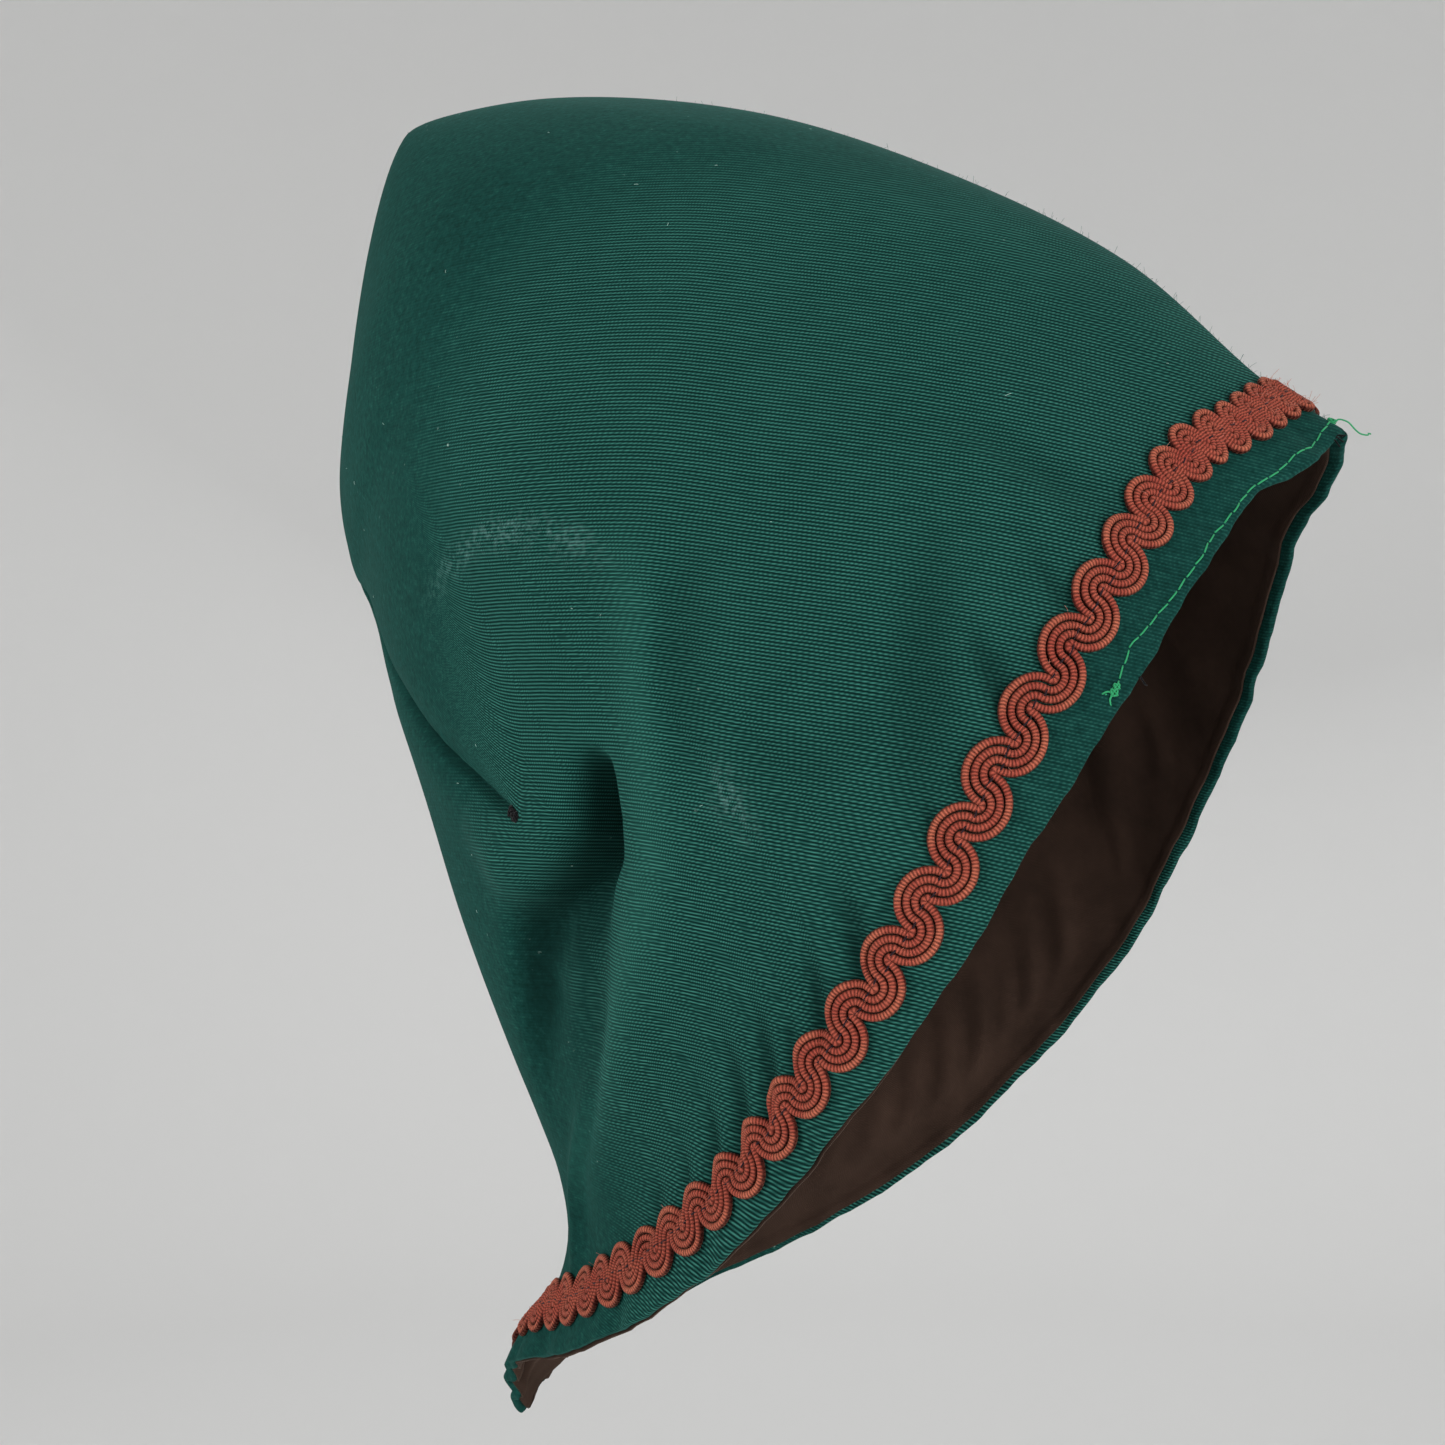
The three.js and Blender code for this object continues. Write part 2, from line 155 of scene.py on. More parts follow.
# Sweep of pale grey paper that rises all round the hood at a distance, so that it makes a plain
# floor and a plain wall from every side. It isn't part of the hood.
FLOOR_DROP = 0.52
SWEEP_RADIUS = 1.7
SWEEP_BEND = 0.7
WALL_HEIGHT = 2.2
SWEEP_SIDES = 96
BEND_STEPS = 16
PAPER = (0.74, 0.74, 0.735, 1)

profile = [(0.001, 0.0), (SWEEP_RADIUS - SWEEP_BEND, 0.0)]
for step in range(1, BEND_STEPS + 1):
    angle = math.pi / 2 * step / BEND_STEPS
    profile.append((
        SWEEP_RADIUS - SWEEP_BEND + SWEEP_BEND * math.sin(angle),
        SWEEP_BEND * (1 - math.cos(angle)),
    ))
profile.append((SWEEP_RADIUS, WALL_HEIGHT))
sweep_points = []
for side in range(SWEEP_SIDES):
    turn = 2 * math.pi * side / SWEEP_SIDES
    for radius, height in profile:
        sweep_points.append((radius * math.cos(turn), radius * math.sin(turn), height - FLOOR_DROP))
sweep_faces = []
for side in range(SWEEP_SIDES):
    here = side * len(profile)
    after = (side + 1) % SWEEP_SIDES * len(profile)
    for k in range(len(profile) - 1):
        sweep_faces.append((here + k, after + k, after + k + 1, here + k + 1))
sweep_mesh = bpy.data.meshes.new("paper_sweep")
sweep_mesh.from_pydata(sweep_points, [], sweep_faces)
sweep_mesh.shade_smooth()
sweep = bpy.data.objects.new("paper_sweep", sweep_mesh)
bpy.context.scene.collection.objects.link(sweep)
paper, paper_shader, paper_wire = new_finish("pale_paper", 0.9)
paper_shader.inputs["Base Color"].default_value = PAPER
sweep_mesh.materials.append(paper)
sweep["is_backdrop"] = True

# Soft studio light: two broad lamps left and right of the camera, a weak one from behind, and the
# pale room itself.
LAMPS = [
    {"azimuth": -34, "elevation": 6, "distance": 1.2, "size": 0.7, "watts": 8.8},
    {"azimuth": 66, "elevation": 0, "distance": 1.2, "size": 0.8, "watts": 10.2},
    {"azimuth": 195, "elevation": 35, "distance": 1.4, "size": 1.2, "watts": 5.0},
]
ROOM_LIGHT = 0.45
ROOM_COLOUR = (1.0, 1.0, 1.0, 1)

for number, lamp in enumerate(LAMPS):
    light = bpy.data.lights.new(f"soft_lamp_{number}", "AREA")
    light.size = lamp["size"]
    light.energy = lamp["watts"]
    holder = bpy.data.objects.new(light.name, light)
    round_it, above = math.radians(lamp["azimuth"]), math.radians(lamp["elevation"])
    direction = Vector((
        math.sin(round_it) * math.cos(above),
        -math.cos(round_it) * math.cos(above),
        math.sin(above),
    ))
    holder.location = LOOK_AT + lamp["distance"] * direction
    holder.rotation_euler = (-direction).to_track_quat("-Z", "Y").to_euler()
    holder.visible_camera = False
    bpy.context.scene.collection.objects.link(holder)
world = bpy.data.worlds.new("pale_room")
world.use_nodes = True
world.node_tree.nodes["Background"].inputs["Color"].default_value = ROOM_COLOUR
world.node_tree.nodes["Background"].inputs["Strength"].default_value = ROOM_LIGHT
bpy.context.scene.world = world

# Outer cloth: two mirrored panels of fine ribbed green cloth, sewn along the crown and the back,
# each with a dart sewn into the neck and its edge turned in round the opening. Places seen from the
# side are shares of the hood's length, from the rear, and of its height, from the tip of the nape.
HOOD_LENGTH = 0.254
HOOD_HEIGHT = 0.328
HALF_WIDTH = 0.083
CLOTH = 0.0012
SEAM_GAP = 0.00016
SEAT_AT = 0.55
SEAT_DEPTH = 0.0025
RIGHT = -1
LEFT = 1

CROWN_SEAM = [
    {"along": 1.0, "up": 0.6987},
    {"along": 0.936, "up": 0.733},
    {"along": 0.819, "up": 0.821},
    {"along": 0.657, "up": 0.8975},
    {"along": 0.47, "up": 0.961},
    {"along": 0.255, "up": 0.9975},
    {"along": 0.116, "up": 0.997},
    {"along": 0.076, "up": 0.99},
]
BACK_SEAM = [
    {"along": 0.208, "up": 0.005},
    {"along": 0.229, "up": 0.033},
    {"along": 0.268, "up": 0.067},
    {"along": 0.289, "up": 0.11},
    {"along": 0.286, "up": 0.159},
    {"along": 0.27, "up": 0.202},
    {"along": 0.241, "up": 0.263},
    {"along": 0.2, "up": 0.345},
    {"along": 0.157, "up": 0.433},
    {"along": 0.105, "up": 0.525},
    {"along": 0.05, "up": 0.604},
    {"along": 0.022, "up": 0.632},
    {"along": 0, "up": 0.686},
    {"along": 0.008, "up": 0.766},
    {"along": 0.026, "up": 0.86},
    {"along": 0.05, "up": 0.94},
    {"along": 0.076, "up": 0.99},
]
FACE_EDGE = [
    {"down": 0, "bow": 0},
    {"down": 0.043, "bow": 0.008},
    {"down": 0.068, "bow": 0.002},
    {"down": 0.091, "bow": 0.008},
    {"down": 0.142, "bow": 0.028},
    {"down": 0.216, "bow": 0.055},
    {"down": 0.311, "bow": 0.081},
    {"down": 0.413, "bow": 0.1065},
    {"down": 0.49, "bow": 0.114},
    {"down": 0.578, "bow": 0.1135},
    {"down": 0.662, "bow": 0.1065},
    {"down": 0.769, "bow": 0.075},
    {"down": 0.873, "bow": 0.025},
    {"down": 0.957, "bow": -0.019},
    {"down": 1, "bow": 0},
]
SECTIONS = [
    {"back": 0, "width": 0.928, "crown": 0.8, "nape": 0.93, "bow": 1},
    {"back": 0.12, "width": 0.96, "crown": 0.68, "nape": 0.82, "bow": 0.8},
    {"back": 0.25, "width": 0.98, "crown": 0.63, "nape": 0.66, "bow": 0.62},
    {"back": 0.4, "width": 0.96, "crown": 0.62, "nape": 0.62, "bow": 0.42},
    {"back": 0.55, "width": 0.84, "crown": 0.68, "nape": 0.72, "bow": 0.25},
    {"back": 0.7, "width": 0.6, "crown": 0.78, "nape": 1.0, "bow": 0.12},
    {"back": 0.85, "width": 0.31, "crown": 0.88, "nape": 1.05, "bow": 0.04},
    {"back": 1, "width": 0, "crown": 0.95, "nape": 1.05, "bow": 0},
]

# Folds as lines of points. ahead and behind are half widths towards the face and away from it,
# rise is the height, as shares of the hood's length.
POCKET = [
    {"along": 0.462, "up": 0.498, "ahead": 0.013, "behind": 0.015, "rise": 0},
    {"along": 0.459, "up": 0.48, "ahead": 0.015, "behind": 0.018, "rise": -0.036},
    {"along": 0.457, "up": 0.452, "ahead": 0.018, "behind": 0.017, "rise": -0.054},
    {"along": 0.452, "up": 0.432, "ahead": 0.02, "behind": 0.019, "rise": -0.06},
    {"along": 0.43, "up": 0.414, "ahead": 0.026, "behind": 0.018, "rise": -0.062},
    {"along": 0.402, "up": 0.399, "ahead": 0.032, "behind": 0.016, "rise": -0.05},
    {"along": 0.374, "up": 0.385, "ahead": 0.034, "behind": 0.018, "rise": -0.034},
    {"along": 0.352, "up": 0.366, "ahead": 0.03, "behind": 0.018, "rise": -0.014},
    {"along": 0.342, "up": 0.352, "ahead": 0.03, "behind": 0.018, "rise": 0},
]
VALLEY = [
    {"along": 0.366, "up": 0.4, "ahead": 0.03, "behind": 0.02, "rise": 0},
    {"along": 0.353, "up": 0.376, "ahead": 0.034, "behind": 0.018, "rise": -0.019},
    {"along": 0.344, "up": 0.352, "ahead": 0.04, "behind": 0.018, "rise": -0.03},
    {"along": 0.335, "up": 0.325, "ahead": 0.042, "behind": 0.017, "rise": -0.029},
    {"along": 0.329, "up": 0.295, "ahead": 0.038, "behind": 0.017, "rise": -0.018},
    {"along": 0.327, "up": 0.262, "ahead": 0.034, "behind": 0.017, "rise": -0.006},
    {"along": 0.328, "up": 0.23, "ahead": 0.03, "behind": 0.016, "rise": 0},
]
HOLLOW = [
    {"along": 0.44, "up": 0.41, "ahead": 0.024, "behind": 0.036, "rise": 0},
    {"along": 0.432, "up": 0.38, "ahead": 0.026, "behind": 0.036, "rise": -0.018},
    {"along": 0.415, "up": 0.32, "ahead": 0.028, "behind": 0.036, "rise": -0.017},
    {"along": 0.39, "up": 0.26, "ahead": 0.028, "behind": 0.036, "rise": -0.009},
    {"along": 0.36, "up": 0.2, "ahead": 0.026, "behind": 0.03, "rise": 0},
]
RIDGE = [
    {"along": 0.493, "up": 0.62, "ahead": 0.04, "behind": 0.03, "rise": 0},
    {"along": 0.502, "up": 0.571, "ahead": 0.03, "behind": 0.026, "rise": 0.005},
    {"along": 0.508, "up": 0.503, "ahead": 0.04, "behind": 0.024, "rise": 0.009},
    {"along": 0.511, "up": 0.431, "ahead": 0.06, "behind": 0.022, "rise": 0.013},
    {"along": 0.492, "up": 0.364, "ahead": 0.055, "behind": 0.026, "rise": 0.016},
    {"along": 0.448, "up": 0.296, "ahead": 0.05, "behind": 0.028, "rise": 0.016},
    {"along": 0.392, "up": 0.211, "ahead": 0.044, "behind": 0.028, "rise": 0.012},
    {"along": 0.375, "up": 0.15, "ahead": 0.036, "behind": 0.03, "rise": 0},
]
NAPE_CREASE = [
    {"along": 0.4165, "up": 0.306, "ahead": 0.012, "behind": 0.014, "rise": 0},
    {"along": 0.3955, "up": 0.277, "ahead": 0.011, "behind": 0.013, "rise": 0.005},
    {"along": 0.374, "up": 0.2475, "ahead": 0.01, "behind": 0.012, "rise": 0.009},
    {"along": 0.3585, "up": 0.2174, "ahead": 0.01, "behind": 0.012, "rise": 0.011},
    {"along": 0.346, "up": 0.1858, "ahead": 0.01, "behind": 0.012, "rise": 0.011},
    {"along": 0.34, "up": 0.1489, "ahead": 0.01, "behind": 0.012, "rise": 0.008},
    {"along": 0.344, "up": 0.118, "ahead": 0.01, "behind": 0.012, "rise": 0},
]
PUFFED_CLOTH = [
    {"along": 0.3, "up": 0.46, "ahead": 0.036, "behind": 0.036, "rise": 0},
    {"along": 0.35, "up": 0.428, "ahead": 0.034, "behind": 0.034, "rise": 0.016},
    {"along": 0.395, "up": 0.45, "ahead": 0.03, "behind": 0.03, "rise": 0.014},
    {"along": 0.425, "up": 0.48, "ahead": 0.03, "behind": 0.03, "rise": 0},
]
DART_HOLLOW = [
    {"along": 0.03, "up": 0.64, "ahead": 0.014, "behind": 0.014, "rise": 0},
    {"along": 0.14, "up": 0.555, "ahead": 0.016, "behind": 0.016, "rise": -0.003},
    {"along": 0.25, "up": 0.506, "ahead": 0.016, "behind": 0.016, "rise": -0.005},
    {"along": 0.33, "up": 0.469, "ahead": 0.018, "behind": 0.018, "rise": -0.008},
    {"along": 0.384, "up": 0.445, "ahead": 0.016, "behind": 0.016, "rise": 0},
]
EAR_HOLLOW = [
    {"along": 0.553, "up": 0.645, "ahead": 0.03, "behind": 0.02, "rise": 0},
    {"along": 0.541, "up": 0.597, "ahead": 0.03, "behind": 0.02, "rise": -0.007},
    {"along": 0.535, "up": 0.554, "ahead": 0.03, "behind": 0.018, "rise": -0.01},
    {"along": 0.539, "up": 0.519, "ahead": 0.028, "behind": 0.018, "rise": -0.009},
    {"along": 0.551, "up": 0.486, "ahead": 0.026, "behind": 0.02, "rise": -0.005},
    {"along": 0.572, "up": 0.452, "ahead": 0.026, "behind": 0.02, "rise": 0},
]
TEMPLE_HOLLOW = [
    {"along": 0.765, "up": 0.645, "ahead": 0.022, "behind": 0.03, "rise": 0},
    {"along": 0.736, "up": 0.617, "ahead": 0.026, "behind": 0.028, "rise": -0.007},
    {"along": 0.729, "up": 0.582, "ahead": 0.03, "behind": 0.02, "rise": -0.011},
    {"along": 0.725, "up": 0.543, "ahead": 0.036, "behind": 0.017, "rise": -0.013},
    {"along": 0.725, "up": 0.5, "ahead": 0.036, "behind": 0.017, "rise": -0.012},
    {"along": 0.728, "up": 0.461, "ahead": 0.03, "behind": 0.018, "rise": -0.007},
    {"along": 0.735, "up": 0.425, "ahead": 0.03, "behind": 0.02, "rise": 0},
]
BROW_CREASE = [
    {"along": 0.712, "up": 0.708, "ahead": 0.02, "behind": 0.02, "rise": 0},
    {"along": 0.764, "up": 0.683, "ahead": 0.018, "behind": 0.018, "rise": -0.006},
    {"along": 0.814, "up": 0.656, "ahead": 0.016, "behind": 0.016, "rise": -0.008},
    {"along": 0.863, "up": 0.636, "ahead": 0.016, "behind": 0.016, "rise": -0.004},
    {"along": 0.885, "up": 0.628, "ahead": 0.016, "behind": 0.016, "rise": 0},
]
BROW_PUFF = [
    {"along": 0.73, "up": 0.682, "ahead": 0.018, "behind": 0.018, "rise": 0},
    {"along": 0.757, "up": 0.665, "ahead": 0.018, "behind": 0.018, "rise": 0.005},
    {"along": 0.808, "up": 0.634, "ahead": 0.018, "behind": 0.018, "rise": 0.006},
    {"along": 0.85, "up": 0.612, "ahead": 0.018, "behind": 0.018, "rise": 0},
]
CHEEK_DENT = [
    {"along": 0.58, "up": 0.505, "ahead": 0.02, "behind": 0.02, "rise": 0},
    {"along": 0.605, "up": 0.492, "ahead": 0.018, "behind": 0.018, "rise": -0.006},
    {"along": 0.646, "up": 0.484, "ahead": 0.018, "behind": 0.018, "rise": -0.007},
    {"along": 0.69, "up": 0.508, "ahead": 0.018, "behind": 0.018, "rise": -0.005},
    {"along": 0.71, "up": 0.525, "ahead": 0.018, "behind": 0.018, "rise": 0},
]
FOLDS = [
    POCKET, VALLEY, HOLLOW, RIDGE, NAPE_CREASE, PUFFED_CLOTH, DART_HOLLOW, EAR_HOLLOW, TEMPLE_HOLLOW,
    BROW_CREASE, BROW_PUFF, CHEEK_DENT,
]
LEFT_FOLD_SHARE = 0.85
SLOPE_STEP = 0.002


def smooth_table(rows, key, column):
    """A smooth curve through the rows of a table, with its slopes taken from neighbouring rows."""
    x = np.array([row[key] for row in rows], float)
    y = np.array([row[column] for row in rows], float)
    gap = np.diff(x)
    rate = np.diff(y) / gap
    slope = np.concatenate((rate[:1], (rate[1:] * gap[:-1] + rate[:-1] * gap[1:]) / (x[2:] - x[:-2]), rate[-1:]))

    def curve(at):
        place = np.clip(at, x[0], x[-1])
        i = np.clip(np.searchsorted(x, place, side="right") - 1, 0, len(x) - 2)
        f = (place - x[i]) / gap[i]
        g = 1 - f
        start = y[i] * (1 + 2 * f) * g * g + slope[i] * gap[i] * f * g * g
        return start + y[i + 1] * (3 - 2 * f) * f * f - slope[i + 1] * gap[i] * g * f * f

    return curve


def seam_curve(rows, steps=80):
    """Points of a seam in the middle plane at shares of its length, on a centripetal spline."""
    rows_at = np.array([(row["along"] * HOOD_LENGTH, row["up"] * HOOD_HEIGHT) for row in rows])
    ends = np.vstack((2 * rows_at[0] - rows_at[1], rows_at, 2 * rows_at[-1] - rows_at[-2]))
    run = []
    for before, start, end, after in zip(ends, ends[1:], ends[2:], ends[3:]):
        d0, d1, d2 = (math.sqrt(math.dist(a, b)) for a, b in ((before, start), (start, end), (end, after)))
        leave = ((start - before) / d0 - (end - before) / (d0 + d1) + (end - start) / d1) * d1
        arrive = ((end - start) / d1 - (after - start) / (d1 + d2) + (after - end) / d2) * d1
        f = np.linspace(0, 1, steps, endpoint=False)[:, None]
        cubic = (2 * start - 2 * end + leave + arrive) * f ** 3
        run.append(start + leave * f + (3 * end - 3 * start - 2 * leave - arrive) * f ** 2 + cubic)
    run = np.vstack(run + [rows_at[-1:]])
    length = np.concatenate(([0], np.cumsum(np.linalg.norm(np.diff(run, axis=0), axis=1))))

    def at(share):
        return np.stack([np.interp(share * length[-1], length, run[:, k]) for k in (0, 1)], -1)

    return at


crown_seam = seam_curve(CROWN_SEAM)
back_seam = seam_curve(BACK_SEAM)
face_bow = smooth_table(FACE_EDGE, "down", "bow")
section_width = smooth_table(SECTIONS, "back", "width")
section_crown = smooth_table(SECTIONS, "back", "crown")
section_nape = smooth_table(SECTIONS, "back", "nape")
section_bow = smooth_table(SECTIONS, "back", "bow")

seat_step = 0.001
seat_point = crown_seam(SEAT_AT)
seat_run = crown_seam(SEAT_AT + seat_step) - crown_seam(SEAT_AT - seat_step)
seat_into = np.array((-seat_run[1], seat_run[0])) / np.linalg.norm(seat_run)
seat_into *= -np.sign(seat_into[1])
seat_point = seat_point + SEAT_DEPTH * seat_into


def unit(vectors):
    return vectors / np.maximum(np.linalg.norm(vectors, axis=-1, keepdims=True), 1e-12)


def down_share(turn):
    """Share of the way down a section. turn spaces places closer together near the seams."""
    return (1 - np.cos(np.pi * turn)) / 2


def smooth_panel(back, turn, side):
    """The panel before its folds, from back 0 at the face edge to back 1 at the point."""
    back, turn = np.broadcast_arrays(np.asarray(back, float), np.asarray(turn, float))
    down = down_share(turn)
    crown = crown_seam(back)
    across = back_seam(back) - crown
    forward = unit(np.stack((-across[..., 1], across[..., 0]), -1))
    bow = face_bow(down) * section_bow(back) * HOOD_LENGTH
    place = crown + across * down[..., None] + forward * bow[..., None]
    a = section_crown(back)
    b = section_nape(back)
    widest = a / (a + b)
    swell = (down / widest) ** a * ((1 - down) / (1 - widest)) ** b
    y = side * section_width(back) * HALF_WIDTH * swell
    return np.stack((place[..., 0], y, place[..., 1]), -1)


def outward(panel, back, turn, side):
    """Unit directions out of the cloth."""
    b0, b1 = np.clip(back - SLOPE_STEP, 0, 0.998), np.clip(back + SLOPE_STEP, 0.002, 1)
    t0, t1 = np.clip(turn - SLOPE_STEP, 0.001, 0.998), np.clip(turn + SLOPE_STEP, 0.002, 0.999)
    along_back = panel(b1, turn, side) - panel(b0, turn, side)
    along_down = panel(back, t1, side) - panel(back, t0, side)
    return unit(np.cross(along_down, along_back) * side)


def fold_rise(fold, x, z):
    """Height of a fold at places seen from the side, which fades with the distance from its line."""
    nearest = np.full(x.shape, np.inf)
    rise = np.zeros(x.shape)
    for start, end in zip(fold, fold[1:]):
        run_x = (end["along"] - start["along"]) * HOOD_LENGTH
        run_z = (end["up"] - start["up"]) * HOOD_HEIGHT
        away_x = x - start["along"] * HOOD_LENGTH
        away_z = z - start["up"] * HOOD_HEIGHT
        f = np.clip((away_x * run_x + away_z * run_z) / (run_x ** 2 + run_z ** 2), 0, 1)
        distance = np.hypot(away_x - run_x * f, away_z - run_z * f)
        is_ahead = run_x * away_z - run_z * away_x > 0
        ahead = start["ahead"] + (end["ahead"] - start["ahead"]) * f
        behind = start["behind"] + (end["behind"] - start["behind"]) * f
        half = np.where(is_ahead, ahead, behind) * HOOD_LENGTH
        height = (start["rise"] + (end["rise"] - start["rise"]) * f) * HOOD_LENGTH
        closer = distance < nearest
        rise = np.where(closer, height * np.exp(-((distance / half) ** 2)), rise)
        nearest = np.where(closer, distance, nearest)
    return rise


def smooth_step(value, low, high):
    f = np.clip((value - low) / (high - low), 0, 1)
    return f * f * (3 - 2 * f)


def folded_panel(back, turn, side):
    """The panel with its main folds, which stop short of the seams."""
    point = smooth_panel(back, turn, side)
    share = LEFT_FOLD_SHARE if side == LEFT else 1
    rise = sum(fold_rise(fold, point[..., 0], point[..., 2]) for fold in FOLDS)
    rise = rise * share * smooth_step(np.abs(point[..., 1]), 0, HALF_WIDTH / 4)
    return point + rise[..., None] * outward(smooth_panel, back, turn, side)


# The face edge measured along itself, and how far one share of the way back reaches from it
trace = np.linspace(0, 1, 500)
TRIAL = 0.05
edge_run = {}
edge_reach = {}
for side in (RIGHT, LEFT):
    edge = folded_panel(0, trace, side)
    steps = np.linalg.norm(np.diff(edge, axis=0), axis=1)
    edge_run[side] = np.concatenate(([0], np.cumsum(steps)))
    edge_reach[side] = np.linalg.norm(folded_panel(TRIAL, trace, side) - edge, axis=1) / TRIAL

# The dart runs from the kink of the back seam forward and down to its tip. Shares back and turns.
DART = [
    {"down": 0.7215, "back": 0.3262},
    {"down": 0.734, "back": 0.338},
    {"down": 0.7602, "back": 0.3584},
    {"down": 0.7813, "back": 0.3775},
    {"down": 0.8018, "back": 0.4},
    {"down": 0.8427, "back": 0.4447},
    {"down": 0.8897, "back": 0.503},
    {"down": 0.9226, "back": 0.5432},
    {"down": 0.962, "back": 0.6},
    {"down": 1, "back": 0.67},
]
DART_TIP_TURN = 0.646
DART_GROOVE = 0.0018
DART_GROOVE_HALF = 0.001
DART_PUFF = 0.0014
DART_PUFF_HALF = 0.006
DART_FADE = 0.012


def dart_back(turn):
    """Share of the way back at which the dart crosses a place down the section."""
    return smooth_table(DART, "down", "back")(np.clip(down_share(turn), DART[0]["down"], 1))


def dart_rise(point, back, turn, side):
    """Height of the sewn groove and of the cloth that puffs up beside it."""
    line_turn = np.linspace(DART_TIP_TURN, 1, 160)
    line = folded_panel(dart_back(line_turn), line_turn, side)
    run = np.concatenate(([0], np.cumsum(np.linalg.norm(np.diff(line, axis=0), axis=1))))
    rise = np.zeros(back.shape)
    low, high = line.min(0) - 0.03, line.max(0) + 0.03
    near = np.all((point > low) & (point < high), axis=-1)
    apart = np.linalg.norm(point[near][:, None, :] - line[None], axis=-1)
    closest = apart.argmin(1)
    distance = apart[np.arange(len(closest)), closest]
    strength = smooth_step(run[closest], 0, DART_FADE) * smooth_step(run[-1] - run[closest], 0, DART_FADE)
    groove = -DART_GROOVE * np.exp(-((distance / DART_GROOVE_HALF) ** 2))
    puff = DART_PUFF * (distance / DART_PUFF_HALF) * np.exp(1 - distance / DART_PUFF_HALF)
    above = back[near] < dart_back(turn[near])
    rise[near] = strength * (groove + np.where(above, puff, 0.25 * puff))
    return rise


# Ripples of the turned-in edge, which the braid's stitches pull in: their height, how far they
# reach from the edge, and the lengths of the waves that add up to them.
RIPPLE_REACH = 0.0095
RIPPLES = [
    {"wave": 0.0127, "height": 0.0002, "start": 0.6},
    {"wave": 0.0191, "height": 0.00022, "start": 2.1},
    {"wave": 0.0341, "height": 0.0003, "start": 4.0},
]
EDGE_WAVES = [
    {"wave": 0.0103, "height": 0.00014, "start": 1.1},
    {"wave": 0.0053, "height": 0.00006, "start": 3.3},
    {"wave": 0.031, "height": 0.0003, "start": 5.2},
]
# Pleats of the hem towards the tip of the nape
PLEAT_WAVE = 0.0074
PLEAT_HEIGHT = 0.0015
PLEAT_FROM = 0.8
# Puckers that run from the braid into the cloth: place down the edge, height, and reach
PUCKERS = [
    {"down": 0.21, "height": -0.0008, "half": 0.003, "reach": 0.014},
    {"down": 0.285, "height": -0.0013, "half": 0.004, "reach": 0.018},
    {"down": 0.385, "height": -0.0009, "half": 0.003, "reach": 0.012},
    {"down": 0.487, "height": -0.0015, "half": 0.0042, "reach": 0.018},
    {"down": 0.54, "height": -0.0017, "half": 0.003, "reach": 0.016},
    {"down": 0.578, "height": -0.0012, "half": 0.0022, "reach": 0.012},
    {"down": 0.612, "height": -0.0019, "half": 0.0032, "reach": 0.021},
    {"down": 0.655, "height": -0.002, "half": 0.003, "reach": 0.024},
    {"down": 0.695, "height": -0.0016, "half": 0.0026, "reach": 0.02},
    {"down": 0.735, "height": -0.0012, "half": 0.0022, "reach": 0.014},
    {"down": 0.775, "height": -0.0011, "half": 0.003, "reach": 0.013},
]
BRAID_INSET = 0.0155
SEAM_GROOVE = 0.0008
SEAM_GROOVE_HALF = 0.0014


def waves(rows, at):
    return sum(row["height"] * np.sin(2 * np.pi * at / row["wave"] + row["start"]) for row in rows)


def pucker_rise(at, inset, side):
    """Height of the puckers beside the braid, at a run round the edge and a distance from it."""
    rise = np.zeros(np.shape(inset))
    for row in PUCKERS:
        middle = np.interp(row["down"], down_share(trace), edge_run[side]) + (side + 1) * 0.003
        shape = np.exp(-(((at - middle) / row["half"]) ** 2))
        fade = smooth_step(inset, 0.012, 0.021) * (1 - smooth_step(inset, 0.022, 0.024 + row["reach"]))
        rise = rise + row["height"] * shape * fade
    return rise


def hem_rise(back, turn, side):
    """Height of the ripples, pleats and puckers round the opening."""
    at = np.interp(turn, trace, edge_run[side])
    inset = back * np.interp(turn, trace, edge_reach[side])
    rise = waves(RIPPLES, at + side * 0.004) * np.exp(-((inset / RIPPLE_REACH) ** 2)) * 1.4
    pleat = PLEAT_HEIGHT * np.sin(2 * np.pi * at / PLEAT_WAVE) * smooth_step(turn, PLEAT_FROM, 0.9)
    rise = rise + pleat * np.exp(-((inset / 0.016) ** 2)) * smooth_step(1 - turn, 0.02, 0.1)
    return rise + pucker_rise(at, inset, side)


def dressed_panel(back, turn, side):
    """The outer face of the cloth with every fold, and the directions out of its main folds."""
    back, turn = np.broadcast_arrays(np.asarray(back, float), np.asarray(turn, float))
    point = folded_panel(back, turn, side)
    normal = outward(folded_panel, back, turn, side)
    rise = hem_rise(back, turn, side) + dart_rise(point, back, turn, side)
    rise = rise * smooth_step(np.abs(point[..., 1]), 0, 0.006)
    rise = rise - SEAM_GROOVE * np.exp(-((np.abs(point[..., 1]) / SEAM_GROOVE_HALF) ** 2))
    point = point + rise[..., None] * normal
    at = np.interp(turn, trace, edge_run[side])
    inset = back * np.interp(turn, trace, edge_reach[side])
    outside = unit(smooth_panel(0, turn, side) - smooth_panel(TRIAL, turn, side))
    shift = waves(EDGE_WAVES, at + side * 0.007) * np.exp(-inset / 0.004)
    return point + shift[..., None] * outside, normal


HEM_TURN = 0.0028
HEM_THICK = 0.0019
HEM_ZONE = 0.006
HEM_ROWS = 11
HEM_CROWDING = 1.8
FACE_ROWS = 76
POINT_ROWS = 84
COLUMNS = 250
DART_CROWDING = 1.35
EDGE_ROUND = 0.00095
LAST_ROW = 0.9975


